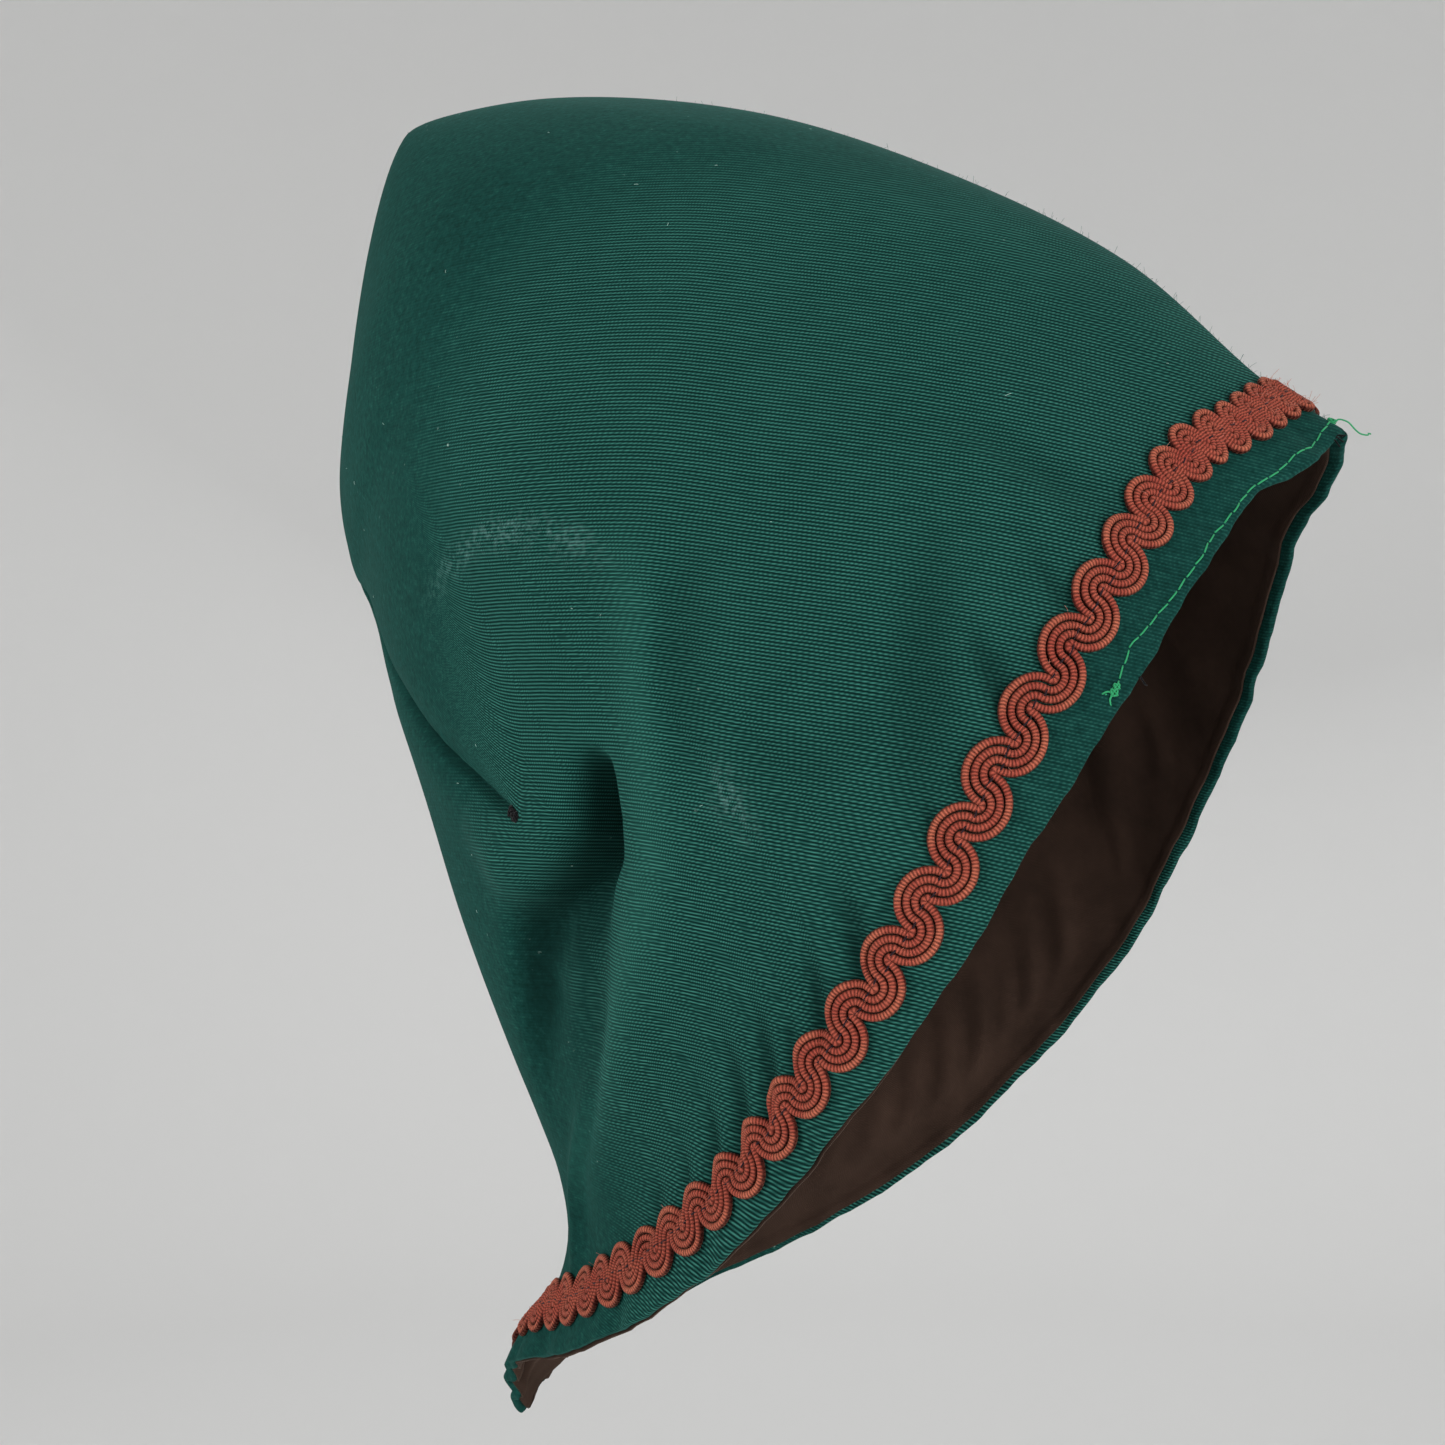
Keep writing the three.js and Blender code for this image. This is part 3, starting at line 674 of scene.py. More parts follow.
def shell_object(name, outer, inner, tip, side):
    """Closed body between an outer and an inner grid of points, whose last rows meet in a tip."""
    rows, columns = outer.shape[:2]
    count = rows * columns
    number = np.arange(count).reshape(rows, columns)
    a, b, c, d = number[:-1, :-1], number[:-1, 1:], number[1:, 1:], number[1:, :-1]
    quads = [np.stack((a, b, c, d), -1).reshape(-1, 4)]
    quads.append(np.stack((d, c, b, a), -1).reshape(-1, 4) + count)
    edge = number[0]
    quads.append(np.stack((edge[1:], edge[:-1], edge[:-1] + count, edge[1:] + count), -1))
    for seam, order in ((number[:, 0], 1), (number[:, -1], -1)):
        low, high = seam[:-1][::order], seam[1:][::order]
        quads.append(np.stack((low, high, high + count, low + count), -1))
    quads = np.vstack(quads)
    last = number[-1]
    tips = (2 * count, 2 * count + 1)
    fans = [(int(p), int(q), tips[0]) for p, q in zip(last[:-1], last[1:])]
    fans += [(int(q) + count, int(p) + count, tips[1]) for p, q in zip(last[:-1], last[1:])]
    fans.append((int(last[0]), tips[0], tips[1]))
    fans.append((int(last[0]), tips[1], int(last[0]) + count))
    fans.append((int(last[-1]), tips[1], tips[0]))
    fans.append((int(last[-1]), int(last[-1]) + count, tips[1]))
    points = np.vstack((outer.reshape(-1, 3), inner.reshape(-1, 3), tip))
    faces = quads.tolist() + fans
    if side == RIGHT:
        faces = [face[::-1] for face in faces]
    mesh = bpy.data.meshes.new(name)
    mesh.from_pydata((points - (seat_point[0], 0, seat_point[1])).tolist(), [], faces)
    mesh.shade_smooth()
    made = bpy.data.objects.new(name, mesh)
    bpy.context.scene.collection.objects.link(made)
    return made


def flat_vectors(made, name, values):
    """Keeps a vector for each point of the outer and inner grids on the mesh."""
    both = np.vstack((values.reshape(-1, 3), values.reshape(-1, 3), values[-1, :1], values[-1, :1]))
    made.data.attributes.new(name, "FLOAT_VECTOR", "POINT").data.foreach_set("vector", both.ravel())


def panel_rows(turn, side):
    """Shares back of the rows: close together along the hem and beside the dart."""
    hem_end = HEM_ZONE / np.interp(turn, trace, edge_reach[side])
    hem = [hem_end * (k / HEM_ROWS) ** HEM_CROWDING for k in range(HEM_ROWS)]
    dart = dart_back(turn)
    face = [dart + (hem_end - dart) * (1 - k / FACE_ROWS) ** DART_CROWDING for k in range(FACE_ROWS)]
    point = [dart + (LAST_ROW - dart) * (k / POINT_ROWS) ** DART_CROWDING for k in range(POINT_ROWS + 1)]
    return np.array(hem + face + point)


def meet_at_seam(points, side):
    """Keeps a layer on its own side of the middle plane."""
    points[..., 1] = side * np.maximum(points[..., 1] * side, SEAM_GAP / 2)
    return points


# Lie of the ribs on the cloth: how far they have dropped at places along the hood, how steeply they
# turn down towards the nape, and how they turn under the dart
RIB_DROPS = [
    {"along": 0, "drop": 0},
    {"along": 0.433, "drop": 0.0022},
    {"along": 0.472, "drop": 0.0026},
    {"along": 0.512, "drop": 0.0034},
    {"along": 0.551, "drop": 0.005},
    {"along": 0.591, "drop": 0.007},
    {"along": 0.65, "drop": 0.0096},
    {"along": 0.709, "drop": 0.0123},
    {"along": 0.768, "drop": 0.0155},
    {"along": 0.827, "drop": 0.0193},
    {"along": 1, "drop": 0.0316},
]
NAPE_TURNS = [
    {"up": 0, "slope": 0.6},
    {"up": 0.06, "slope": 0.54},
    {"up": 0.122, "slope": 0.4},
    {"up": 0.168, "slope": 0.22},
    {"up": 0.213, "slope": 0.09},
    {"up": 0.29, "slope": 0},
    {"up": 0.3, "slope": 0},
    {"up": 1, "slope": 0},
]
NAPE_MIDDLE = 0.105
DART_TURN = 0.75


def weave_places(point, back, turn):
    """Distances along and across the ribs."""
    x, z = point[..., 0], point[..., 2]
    across = z + smooth_table(RIB_DROPS, "along", "drop")(x / HOOD_LENGTH)
    across = across + smooth_table(NAPE_TURNS, "up", "slope")(z / HOOD_HEIGHT) * (x - NAPE_MIDDLE)
    under = smooth_step(back - dart_back(turn), 0, 0.004) * smooth_step(turn, 0.6, 0.7)
    tip_x = 0.384 * HOOD_LENGTH
    across = across - DART_TURN * np.maximum(tip_x - x, 0) * under
    level = np.linalg.norm(np.diff(point[..., :2], axis=0), axis=-1)
    along = np.vstack((np.zeros((1, point.shape[1])), np.cumsum(level, axis=0)))
    return np.stack((along, across, np.zeros_like(x)), -1)


# Chalky rubbed marks on the right side
CHALK_ARC = [
    {"along": 0.262, "up": 0.596, "ahead": 0.01, "behind": 0.012, "rise": 0.1},
    {"along": 0.3, "up": 0.618, "ahead": 0.009, "behind": 0.012, "rise": 0.5},
    {"along": 0.345, "up": 0.634, "ahead": 0.009, "behind": 0.013, "rise": 0.8},
    {"along": 0.4, "up": 0.636, "ahead": 0.009, "behind": 0.018, "rise": 0.55},
    {"along": 0.45, "up": 0.624, "ahead": 0.01, "behind": 0.018, "rise": 0.5},
    {"along": 0.48, "up": 0.606, "ahead": 0.01, "behind": 0.014, "rise": 0.1},
]
CHALK_SMEAR = [
    {"along": 0.573, "up": 0.487, "ahead": 0.01, "behind": 0.012, "rise": 0.1},
    {"along": 0.585, "up": 0.464, "ahead": 0.012, "behind": 0.014, "rise": 0.6},
    {"along": 0.6, "up": 0.444, "ahead": 0.01, "behind": 0.012, "rise": 0.25},
]

# Towards the crown, the back and the nape the nap is brushed up and hides most of the ribs
BRUSHED_LEAN = 0.46
BRUSHED_FROM = 0.11
BRUSHED_WHOLE = 0.032
BRUSHED_ENDS = 0.066
BRUSHED_MOST = 0.92
WORN_EDGE_MOST = 0.7

RIB_PITCH = 0.00074
DASH_PITCH = 0.00055
RIB_LEAN = 0.35
CLOTH_DARK = (0.0004, 0.0095, 0.008, 1)
CLOTH_MID = (0.0052, 0.045, 0.037, 1)
CLOTH_LIGHT = (0.036, 0.165, 0.132, 1)
# Painted shade: the cloth's colour is painted darker, towards its darkest colour, in the deep folds, the soft grooves,
# the puckers beside the braid and along the dart's seam. These set the share of darkening and the depth or width over
# which it grows.
FOLD_SHADE = 0.56
FOLD_DEPTH = 0.0085
SEAM_SHADE_HALF = 0.003
DEEP_FOLDS = (POCKET, VALLEY, HOLLOW)
SOFT_FOLDS = (EAR_HOLLOW, TEMPLE_HOLLOW, BROW_CREASE, CHEEK_DENT)
SOFT_DEPTH = 0.0036
SOFT_SHADE = 0.6
PUCKER_DEPTH = 0.0011
PUCKER_SHADE = 0.9
# Painted highlight along the crest of the ridge beside the pocket, where the cloth's colour is painted lighter
RIDGE_PAINTED_HIGHLIGHT = [
    {"along": 0.492, "up": 0.62, "ahead": 0.018, "behind": 0.018, "rise": 0.3},
    {"along": 0.501, "up": 0.571, "ahead": 0.018, "behind": 0.018, "rise": 0.7},
    {"along": 0.508, "up": 0.503, "ahead": 0.018, "behind": 0.018, "rise": 0.8},
    {"along": 0.515, "up": 0.434, "ahead": 0.02, "behind": 0.018, "rise": 0.8},
    {"along": 0.495, "up": 0.384, "ahead": 0.022, "behind": 0.02, "rise": 0.9},
    {"along": 0.453, "up": 0.327, "ahead": 0.022, "behind": 0.02, "rise": 1},
    {"along": 0.387, "up": 0.253, "ahead": 0.024, "behind": 0.02, "rise": 1},
    {"along": 0.361, "up": 0.211, "ahead": 0.024, "behind": 0.02, "rise": 0.6},
]
RIDGE_HIGHLIGHT_MOST = 0.18
CHALK = (0.13, 0.27, 0.25, 1)
LINT = (0.35, 0.5, 0.44, 1)

cloth, cloth_shader, wire = new_finish("ribbed_green_cloth", 0.85, 0.1)
cloth_shader.inputs["Sheen Tint"].default_value = (0.12, 0.6, 0.5, 1)
weave = wire.node("ShaderNodeAttribute", {"attribute_name": "weave"}, output=1)
# The attribute holds the chalk, the brushed nap, and the painted shade and highlight
marks = wire.node("ShaderNodeAttribute", {"attribute_name": "marks"}, output=1)
places = weave.node("ShaderNodeSeparateXYZ", None, {0: weave})
along = Wire(places.socket.node.outputs[0])
across = Wire(places.socket.node.outputs[1])
chalky = marks.node("ShaderNodeSeparateXYZ", None, {0: marks})
grain_places = weave.node("ShaderNodeVectorMath", {"operation": "MULTIPLY"}, {0: weave, 1: (260.0, 1250.0, 1.0)})
grain = grain_places.node("ShaderNodeTexNoise", None, {"Vector": grain_places, "Scale": 1.0, "Detail": 2.0})
wander = weave.node("ShaderNodeTexNoise", None, {"Vector": weave, "Scale": 90.0, "Detail": 1.0})
rib_turn = (across + wander * 0.0003) * (2 * math.pi / RIB_PITCH)
rib = rib_turn.maths("SINE") * 0.5 + 0.5
dash_turn = along * (2 * math.pi / DASH_PITCH) + rib_turn * RIB_LEAN + grain * 9.0
dash = dash_turn.maths("SINE") * 0.5 + 0.5
crest = rib * (0.55 + dash * 0.45)
brushed = Wire(chalky.socket.node.outputs[1])
tone = wire.node("ShaderNodeTexCoord", output=3)
patches = tone.node("ShaderNodeTexNoise", None, {"Vector": tone, "Scale": 26.0, "Detail": 4.0, "Roughness": 0.6})
fuzz = tone.node("ShaderNodeTexNoise", None, {"Vector": tone, "Scale": 700.0, "Detail": 3.0, "Roughness": 0.7})
crest = crest + (fuzz * 0.9 - 0.155 - crest) * brushed
lint = tone.node("ShaderNodeTexVoronoi", {"feature": "F1"}, {"Vector": tone, "Scale": 210.0})
depth = (crest * (0.75 + grain * 0.6) + patches * 0.16 - 0.08).maths("MINIMUM", 1.0)
shade = wire.node(
    "ShaderNodeValToRGB",
    {"stops": [(0.0, CLOTH_DARK), (0.42, CLOTH_MID), (1.0, CLOTH_LIGHT)]},
    {0: depth},
)
# Painted shade and highlight: the colour is painted darker in the folds and lighter along the ridge's crest
painted_shade_and_highlight = Wire(chalky.socket.node.outputs[2])
shade = blend_colours((painted_shade_and_highlight * FOLD_SHADE).maths("MAXIMUM", 0.0), shade, CLOTH_DARK)
shade = blend_colours((painted_shade_and_highlight * -RIDGE_HIGHLIGHT_MOST).maths("MAXIMUM", 0.0), shade, CLOTH_LIGHT)
rubbed = (chalky * (fuzz * 4.6 - 2.1)).maths("MAXIMUM", 0.0) * (0.35 + crest * 0.75)
shade = blend_colours(rubbed.maths("MINIMUM", 0.75), shade, CHALK)
specks = ((0.1 - lint) * 14.0).maths("MAXIMUM", 0.0).maths("MINIMUM", 1.0)
rare = ((patches * 1.0 + fuzz * 0.9 - 1.07) * 9.0).maths("MAXIMUM", 0.0).maths("MINIMUM", 1.0)
shade = blend_colours(specks * rare, shade, LINT)
paint(cloth, cloth_shader, "Base Color", shade)
bump = wire.node("ShaderNodeBump", None, {"Strength": 0.55, "Distance": 0.00022, "Height": crest + fuzz * 0.25})
paint(cloth, cloth_shader, "Normal", bump)


panels = {}
grids = {}
for side, node_name in ((RIGHT, "right_panel"), (LEFT, "left_panel")):
    turn = np.linspace(0, 1, COLUMNS + 1)
    back = panel_rows(turn, side)
    turn = np.broadcast_to(turn, back.shape)
    point, normal = dressed_panel(back, turn, side)
    inset = back * np.interp(turn, trace, edge_reach[side])
    sink = EDGE_ROUND - np.sqrt(np.maximum(EDGE_ROUND ** 2 - np.maximum(EDGE_ROUND - inset, 0) ** 2, 0))
    outer = point - sink[..., None] * normal
    thick = CLOTH + (HEM_THICK - CLOTH) * (1 - smooth_step(inset, HEM_TURN, HEM_TURN + 0.0008))
    thin_edge = EDGE_ROUND - np.sqrt(np.maximum(EDGE_ROUND ** 2 - np.maximum(EDGE_ROUND - inset, 0) ** 2, 0))
    inner = point - (thick - thin_edge)[..., None] * normal
    inner[0] = outer[0] - 0.00002 * normal[0]
    outer, inner = meet_at_seam(outer, side), meet_at_seam(inner, side)
    tip = smooth_panel(1, 0.5, side)
    inward = unit(outer[-1].mean(0) - tip)
    tips = np.array((tip, tip + inward * CLOTH * 2))
    tips[:, 1] = side * SEAM_GAP / 2
    panel = shell_object(f"{node_name}_cloth", outer, inner, tips, side)
    flat_vectors(panel, "weave", weave_places(point, back, turn))
    chalk = sum(fold_rise(rows, point[..., 0], point[..., 2]) for rows in (CHALK_ARC, CHALK_SMEAR))
    chalk = chalk / HOOD_LENGTH * (side == RIGHT)
    near = BRUSHED_LEAN * (point[..., 0] - BRUSHED_FROM) + np.abs(point[..., 1])
    brushed_up = BRUSHED_MOST * (1 - smooth_step(near, BRUSHED_WHOLE, BRUSHED_ENDS))
    worn_edge = (1 - smooth_step(inset, 0.009, 0.014)) * (1 - smooth_step(turn, 0.3, 0.46))
    brushed_up = np.maximum(brushed_up, WORN_EDGE_MOST * worn_edge)
    # Painted shade and highlight for the third value of the attribute: darker in the deep folds, the soft grooves, the
    # puckers and along the dart's seam, and lighter along the ridge beside the pocket
    deep = -sum(fold_rise(rows, point[..., 0], point[..., 2]) for rows in DEEP_FOLDS)
    soft = -sum(fold_rise(rows, point[..., 0], point[..., 2]) for rows in SOFT_FOLDS)
    pucker = -pucker_rise(np.interp(turn, trace, edge_run[side]), inset, side)
    ridge_painted_highlight = fold_rise(RIDGE_PAINTED_HIGHLIGHT, point[..., 0], point[..., 2]) / HOOD_LENGTH
    # A thin painted shadow along the dart's seam
    dart_seam_painted_shade = np.exp(-(((back - dart_back(turn)) / SEAM_SHADE_HALF) ** 2))
    dart_seam_painted_shade = dart_seam_painted_shade * smooth_step(turn, DART_TIP_TURN, DART_TIP_TURN + 0.02)
    deep = np.maximum(smooth_step(deep, 0, FOLD_DEPTH), dart_seam_painted_shade)
    deep = np.maximum(deep, SOFT_SHADE * smooth_step(soft, 0, SOFT_DEPTH))
    deep = np.maximum(deep, PUCKER_SHADE * smooth_step(pucker, 0, PUCKER_DEPTH))
    # The ridge's painted highlight is kept as values below zero
    deep = deep - ridge_painted_highlight * (1 - smooth_step(deep, 0, 0.3))
    flat_vectors(panel, "marks", np.stack((chalk, brushed_up, deep), -1))
    panel.data.materials.append(cloth)
    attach(panel, "root")
    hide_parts(node_name)
    panels[side] = panel
    grids[side] = outer

# Lining: two panels of thin dark brown cloth inside the outer ones. Along the right cheek its edge
# rolls a little past the hem and shows as a brown line; elsewhere the turned-in cloth covers it.
LINING_THICK = 0.0006
LINING_GAP = 0.0004
HEM_CLEARANCE = 0.0002
LINING_ZONE = 0.009
LINING_HEM_ROWS = 8
LINING_ROWS = 110
LINING_COLUMNS = 150
WRINKLE = 0.0007
CLEAR_OF_DART = 0.02
CLEAR_OF_POCKET = 0.12
LINING_EDGE = {
    RIGHT: [
        {"down": 0, "inset": 0.0029},
        {"down": 0.15, "inset": 0.0026},
        {"down": 0.3, "inset": 0.0018},
        {"down": 0.43, "inset": 0.0008},
        {"down": 0.5, "inset": -0.0003},
        {"down": 0.62, "inset": -0.0004},
        {"down": 0.7, "inset": 0.0004},
        {"down": 0.77, "inset": -0.0003},
        {"down": 0.9, "inset": -0.0004},
        {"down": 0.96, "inset": 0.001},
        {"down": 1, "inset": 0.0022},
    ],
    LEFT: [
        {"down": 0, "inset": 0.0027},
        {"down": 0.5, "inset": 0.0024},
        {"down": 1, "inset": 0.002},
    ],
}
LINING_DARK = (0.011, 0.0068, 0.005, 1)
LINING_LIGHT = (0.062, 0.036, 0.026, 1)
THREAD_PITCH = 0.0004

lining_finish, lining_shader, wire = new_finish("brown_lining_cloth", 0.9, 0.12)
lining_shader.inputs["Sheen Tint"].default_value = (0.6, 0.45, 0.35, 1)
weave = wire.node("ShaderNodeAttribute", {"attribute_name": "weave"}, output=1)
places = weave.node("ShaderNodeSeparateXYZ", None, {0: weave})
threads_along = (places * (2 * math.pi / THREAD_PITCH)).maths("SINE")
threads_across = (Wire(places.socket.node.outputs[1]) * (2 * math.pi / THREAD_PITCH)).maths("SINE")
plain_weave = threads_along * threads_across * 0.5 + 0.5
tone = wire.node("ShaderNodeTexCoord", output=3)
patches = tone.node("ShaderNodeTexNoise", None, {"Vector": tone, "Scale": 60.0, "Detail": 5.0, "Roughness": 0.65})
brown = blend_colours((patches * 0.9 + plain_weave * 0.25 - 0.1), LINING_DARK, LINING_LIGHT)
paint(lining_finish, lining_shader, "Base Color", brown)
height = plain_weave + patches * 1.5
bump = wire.node("ShaderNodeBump", None, {"Strength": 0.4, "Distance": 0.0002, "Height": height})
paint(lining_finish, lining_shader, "Normal", bump)

for side, node_name in ((RIGHT, "right_lining"), (LEFT, "left_lining")):
    turn = np.linspace(0, 1, LINING_COLUMNS + 1)
    rows = LINING_EDGE[side]
    start = smooth_table(rows, "down", "inset")(down_share(turn))
    insets = [start + (LINING_ZONE - start) * (k / LINING_HEM_ROWS) ** 1.4 for k in range(LINING_HEM_ROWS)]
    hem = np.array(insets) / np.interp(turn, trace, edge_reach[side])
    zone = LINING_ZONE / np.interp(turn, trace, edge_reach[side])
    rest = [zone + (LAST_ROW - zone) * k / LINING_ROWS for k in range(LINING_ROWS + 1)]
    back = np.vstack((hem, rest))
    turn = np.broadcast_to(turn, back.shape)
    point, normal = dressed_panel(np.maximum(back, 0), turn, side)
    inset = back * np.interp(turn, trace, edge_reach[side])
    outside = unit(smooth_panel(0, turn, side) - smooth_panel(TRIAL, turn, side))
    point = point + np.maximum(-inset, 0)[..., None] * outside
    over_hem = 1 - smooth_step(inset, HEM_TURN + 0.0012, HEM_TURN + 0.0032)
    depth = CLOTH + LINING_GAP + (HEM_THICK + HEM_CLEARANCE - CLOTH - LINING_GAP) * over_hem
    at = np.interp(turn, trace, edge_run[side])
    slack = 0.5 + 0.5 * np.sin(at * 140 + inset * 45 + 2 * np.sin(inset * 70 + side))
    depth = depth + WRINKLE * slack * smooth_step(inset, 0.006, 0.02)
    by_dart = np.exp(-(((back - dart_back(turn)) / CLEAR_OF_DART) ** 2))
    depth = depth - CLEAR_OF_POCKET * fold_rise(POCKET, point[..., 0], point[..., 2])
    depth = depth + (DART_GROOVE + 0.0005) * by_dart * smooth_step(turn, DART_TIP_TURN - 0.04, DART_TIP_TURN)
    outer = meet_at_seam(point - depth[..., None] * normal, side)
    inner = meet_at_seam(point - (depth + LINING_THICK)[..., None] * normal, side)
    tip = smooth_panel(1, 0.5, side)
    inward = unit(outer[-1].mean(0) - tip)
    tips = np.array((outer[-1].mean(0) - inward * 0.0004, inner[-1].mean(0)))
    tips[:, 1] = side * SEAM_GAP / 2
    layer = shell_object(f"{node_name}_cloth", outer, inner, tips, side)
    flat_vectors(layer, "weave", weave_places(point, back, turn))
    layer.data.materials.append(lining_finish)
    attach(layer, "root")
    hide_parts(node_name)

# Braid: a scroll gimp of four wound rust-red cords side by side, which swing in half circles about
# centres on the band's middle line, so that lobes stand on both edges by turns. It is one closed
# loop sewn on with a dark thread along its middle, and is crowded at the peak and at the nape.
CORD_RADIUS = 0.00082
CORD_HEIGHT = 0.00085
HALF_PITCH = 0.0061
CORD_STEP = 0.0005
CORD_SIDES = 8
CORDS = (0.0006, 0.00225, 0.00385, 0.0055)
WINDING = 0.00068
CROWN_INSET = 0.0138
BRAID_LIFT = 0.00005
FEELER = 0.006
# Pitch of the lobes, measured down the edge from the peak
PITCHES = [
    {"down": 0, "pitch": 0.0064},
    {"down": 0.07, "pitch": 0.0072},
    {"down": 0.12, "pitch": 0.0105},
    {"down": 0.2, "pitch": 0.0134},
    {"down": 0.4, "pitch": 0.0132},
    {"down": 0.6, "pitch": 0.0121},
    {"down": 0.8, "pitch": 0.0112},
    {"down": 0.9, "pitch": 0.0095},
    {"down": 0.95, "pitch": 0.0072},
    {"down": 1, "pitch": 0.0062},
]

cloth_points = np.vstack([grids[side].reshape(-1, 3) for side in (RIGHT, LEFT)])
row_count, column_count = grids[RIGHT].shape[:2]
number = np.arange(row_count * column_count).reshape(row_count, column_count)
quads = np.stack((number[:-1, :-1], number[:-1, 1:], number[1:, 1:], number[1:, :-1]), -1)
quads = quads[: row_count // 2].reshape(-1, 4)
outer_faces = quads[:, ::-1].tolist() + (quads + row_count * column_count).tolist()
outer_cloth = BVHTree.FromPolygons(cloth_points.tolist(), outer_faces)


def height_of_cloth(places, normals):
    """How far the outer cloth lies above places, along the directions out of it."""
    heights = []
    for place, normal in zip(places, normals):
        start = Vector(place + normal * FEELER)
        hit = outer_cloth.ray_cast(start, Vector(-normal), 2 * FEELER)[3]
        if hit is None:
            hit = FEELER - (outer_cloth.find_nearest(Vector(place))[0] - Vector(place)) @ Vector(normal)
        heights.append(FEELER - hit)
    return np.array(heights)


def evened(values, passes, closed=True):
    for _ in range(passes):
        values = (np.roll(values, 1, 0) + values * 2 + np.roll(values, -1, 0)) / 4
    return values


path_turns = np.linspace(0.0015, 0.9985, 900)
loop, loop_normals, loop_pitch = [], [], []
for side in (RIGHT, LEFT):
    turns = path_turns if side == RIGHT else path_turns[::-1]
    inset = BRAID_INSET + (CROWN_INSET - BRAID_INSET) * (1 - smooth_step(turns, 0, 0.12))
    back = inset / np.interp(turns, trace, edge_reach[side])
    point, normal = dressed_panel(back, turns, side)
    loop.append(point)
    loop_normals.append(normal)
    loop_pitch.append(smooth_table(PITCHES, "down", "pitch")(down_share(turns)))
loop = evened(np.vstack(loop), 60)
loop_normals = unit(evened(np.vstack(loop_normals), 60))
loop_pitch = np.concatenate(loop_pitch)
steps = np.linalg.norm(np.roll(loop, -1, 0) - loop, axis=1)
loop_run = np.concatenate(([0], np.cumsum(steps)))
lobes = np.concatenate(([0], np.cumsum(steps / loop_pitch)))
lobe_count = round(lobes[-1])
lobes *= lobe_count / lobes[-1]
closed_loop = np.vstack((loop, loop[:1]))
loop_tangents = unit(np.roll(loop, -2, 0) - np.roll(loop, 2, 0))
loop_across = unit(np.cross(loop_normals, loop_tangents))
if (loop_across[300] @ (LOOK_AT - Vector(loop[300]))) > 0:
    loop_across = -loop_across
closed_across = np.vstack((loop_across, loop_across[:1]))
closed_normals = np.vstack((loop_normals, loop_normals[:1]))


def band_point(lobe, width):
    """Points of the band by lobes along it and distance across it."""
    lobe = np.mod(lobe, lobe_count)
    middle = np.stack([np.interp(lobe, lobes, closed_loop[:, k]) for k in range(3)], -1)
    across = np.stack([np.interp(lobe, lobes, closed_across[:, k]) for k in range(3)], -1)
    normal = np.stack([np.interp(lobe, lobes, closed_normals[:, k]) for k in range(3)], -1)
    return middle + across * width[:, None], unit(normal)


def tube(centres, normals, radius, height, sides, closed, tone=0.0):
    """Points and faces of an oval cord, with places along and round it and its tone."""
    if closed:
        tangents = unit(np.roll(centres, -1, 0) - np.roll(centres, 1, 0))
        gaps = np.linalg.norm(np.roll(centres, -1, 0) - centres, axis=1)
    else:
        tangents = unit(np.gradient(centres, axis=0))
        gaps = np.linalg.norm(np.diff(centres, axis=0), axis=1)
    run = np.concatenate(([0], np.cumsum(gaps)))[: len(centres)]
    sideways = unit(np.cross(normals, tangents))
    upwards = np.cross(tangents, sideways)
    angles = np.arange(sides) / sides * 2 * np.pi
    radius = np.broadcast_to(radius, len(centres))[:, None, None]
    height = np.broadcast_to(height, len(centres))[:, None, None]
    ring = sideways[:, None] * np.cos(angles)[:, None] * radius
    ring = ring + upwards[:, None] * np.sin(angles)[:, None] * height
    points = (centres[:, None] + ring).reshape(-1, 3)
    tone = np.broadcast_to(tone, len(centres))[:, None]
    places = np.stack(np.broadcast_arrays(run[:, None], np.sin(angles)[None], tone), -1).reshape(-1, 3)
    count = len(centres)
    number = np.arange(count * sides).reshape(count, sides)
    after = np.roll(number, -1, 0) if closed else number[1:]
    here = number if closed else number[:-1]
    turned = (np.roll(here, -1, 1), np.roll(after, -1, 1))
    faces = np.stack((here, turned[0], turned[1], after), -1).reshape(-1, 4).tolist()
    if not closed:
        faces.append(number[0, ::-1].tolist())
        faces.append(number[-1].tolist())
    return points, faces, places


def joined_object(name, parts, finish, attribute):
    """One mesh of several tubes, whose places along and round them are kept on it."""
    points, faces, places, shift = [], [], [], 0
    for part_points, part_faces, part_places in parts:
        points.append(part_points)
        places.append(part_places)
        faces += [[corner + shift for corner in face] for face in part_faces]
        shift += len(part_points)
    mesh = bpy.data.meshes.new(name)
    mesh.from_pydata((np.vstack(points) - (seat_point[0], 0, seat_point[1])).tolist(), [], faces)
    mesh.shade_smooth()
    mesh.attributes.new(attribute, "FLOAT_VECTOR", "POINT").data.foreach_set("vector", np.vstack(places).ravel())
    mesh.materials.append(finish)
    made = bpy.data.objects.new(name, mesh)
    bpy.context.scene.collection.objects.link(made)
    return made


# Colours of the cords; the darkest is painted shade for their sides, their undersides and the gaps between windings
BRAID_PAINTED_SHADE = (0.03, 0.004, 0.0035, 1)
BRAID_INNER = (0.36, 0.062, 0.042, 1)
BRAID_OUTER = (0.56, 0.165, 0.095, 1)

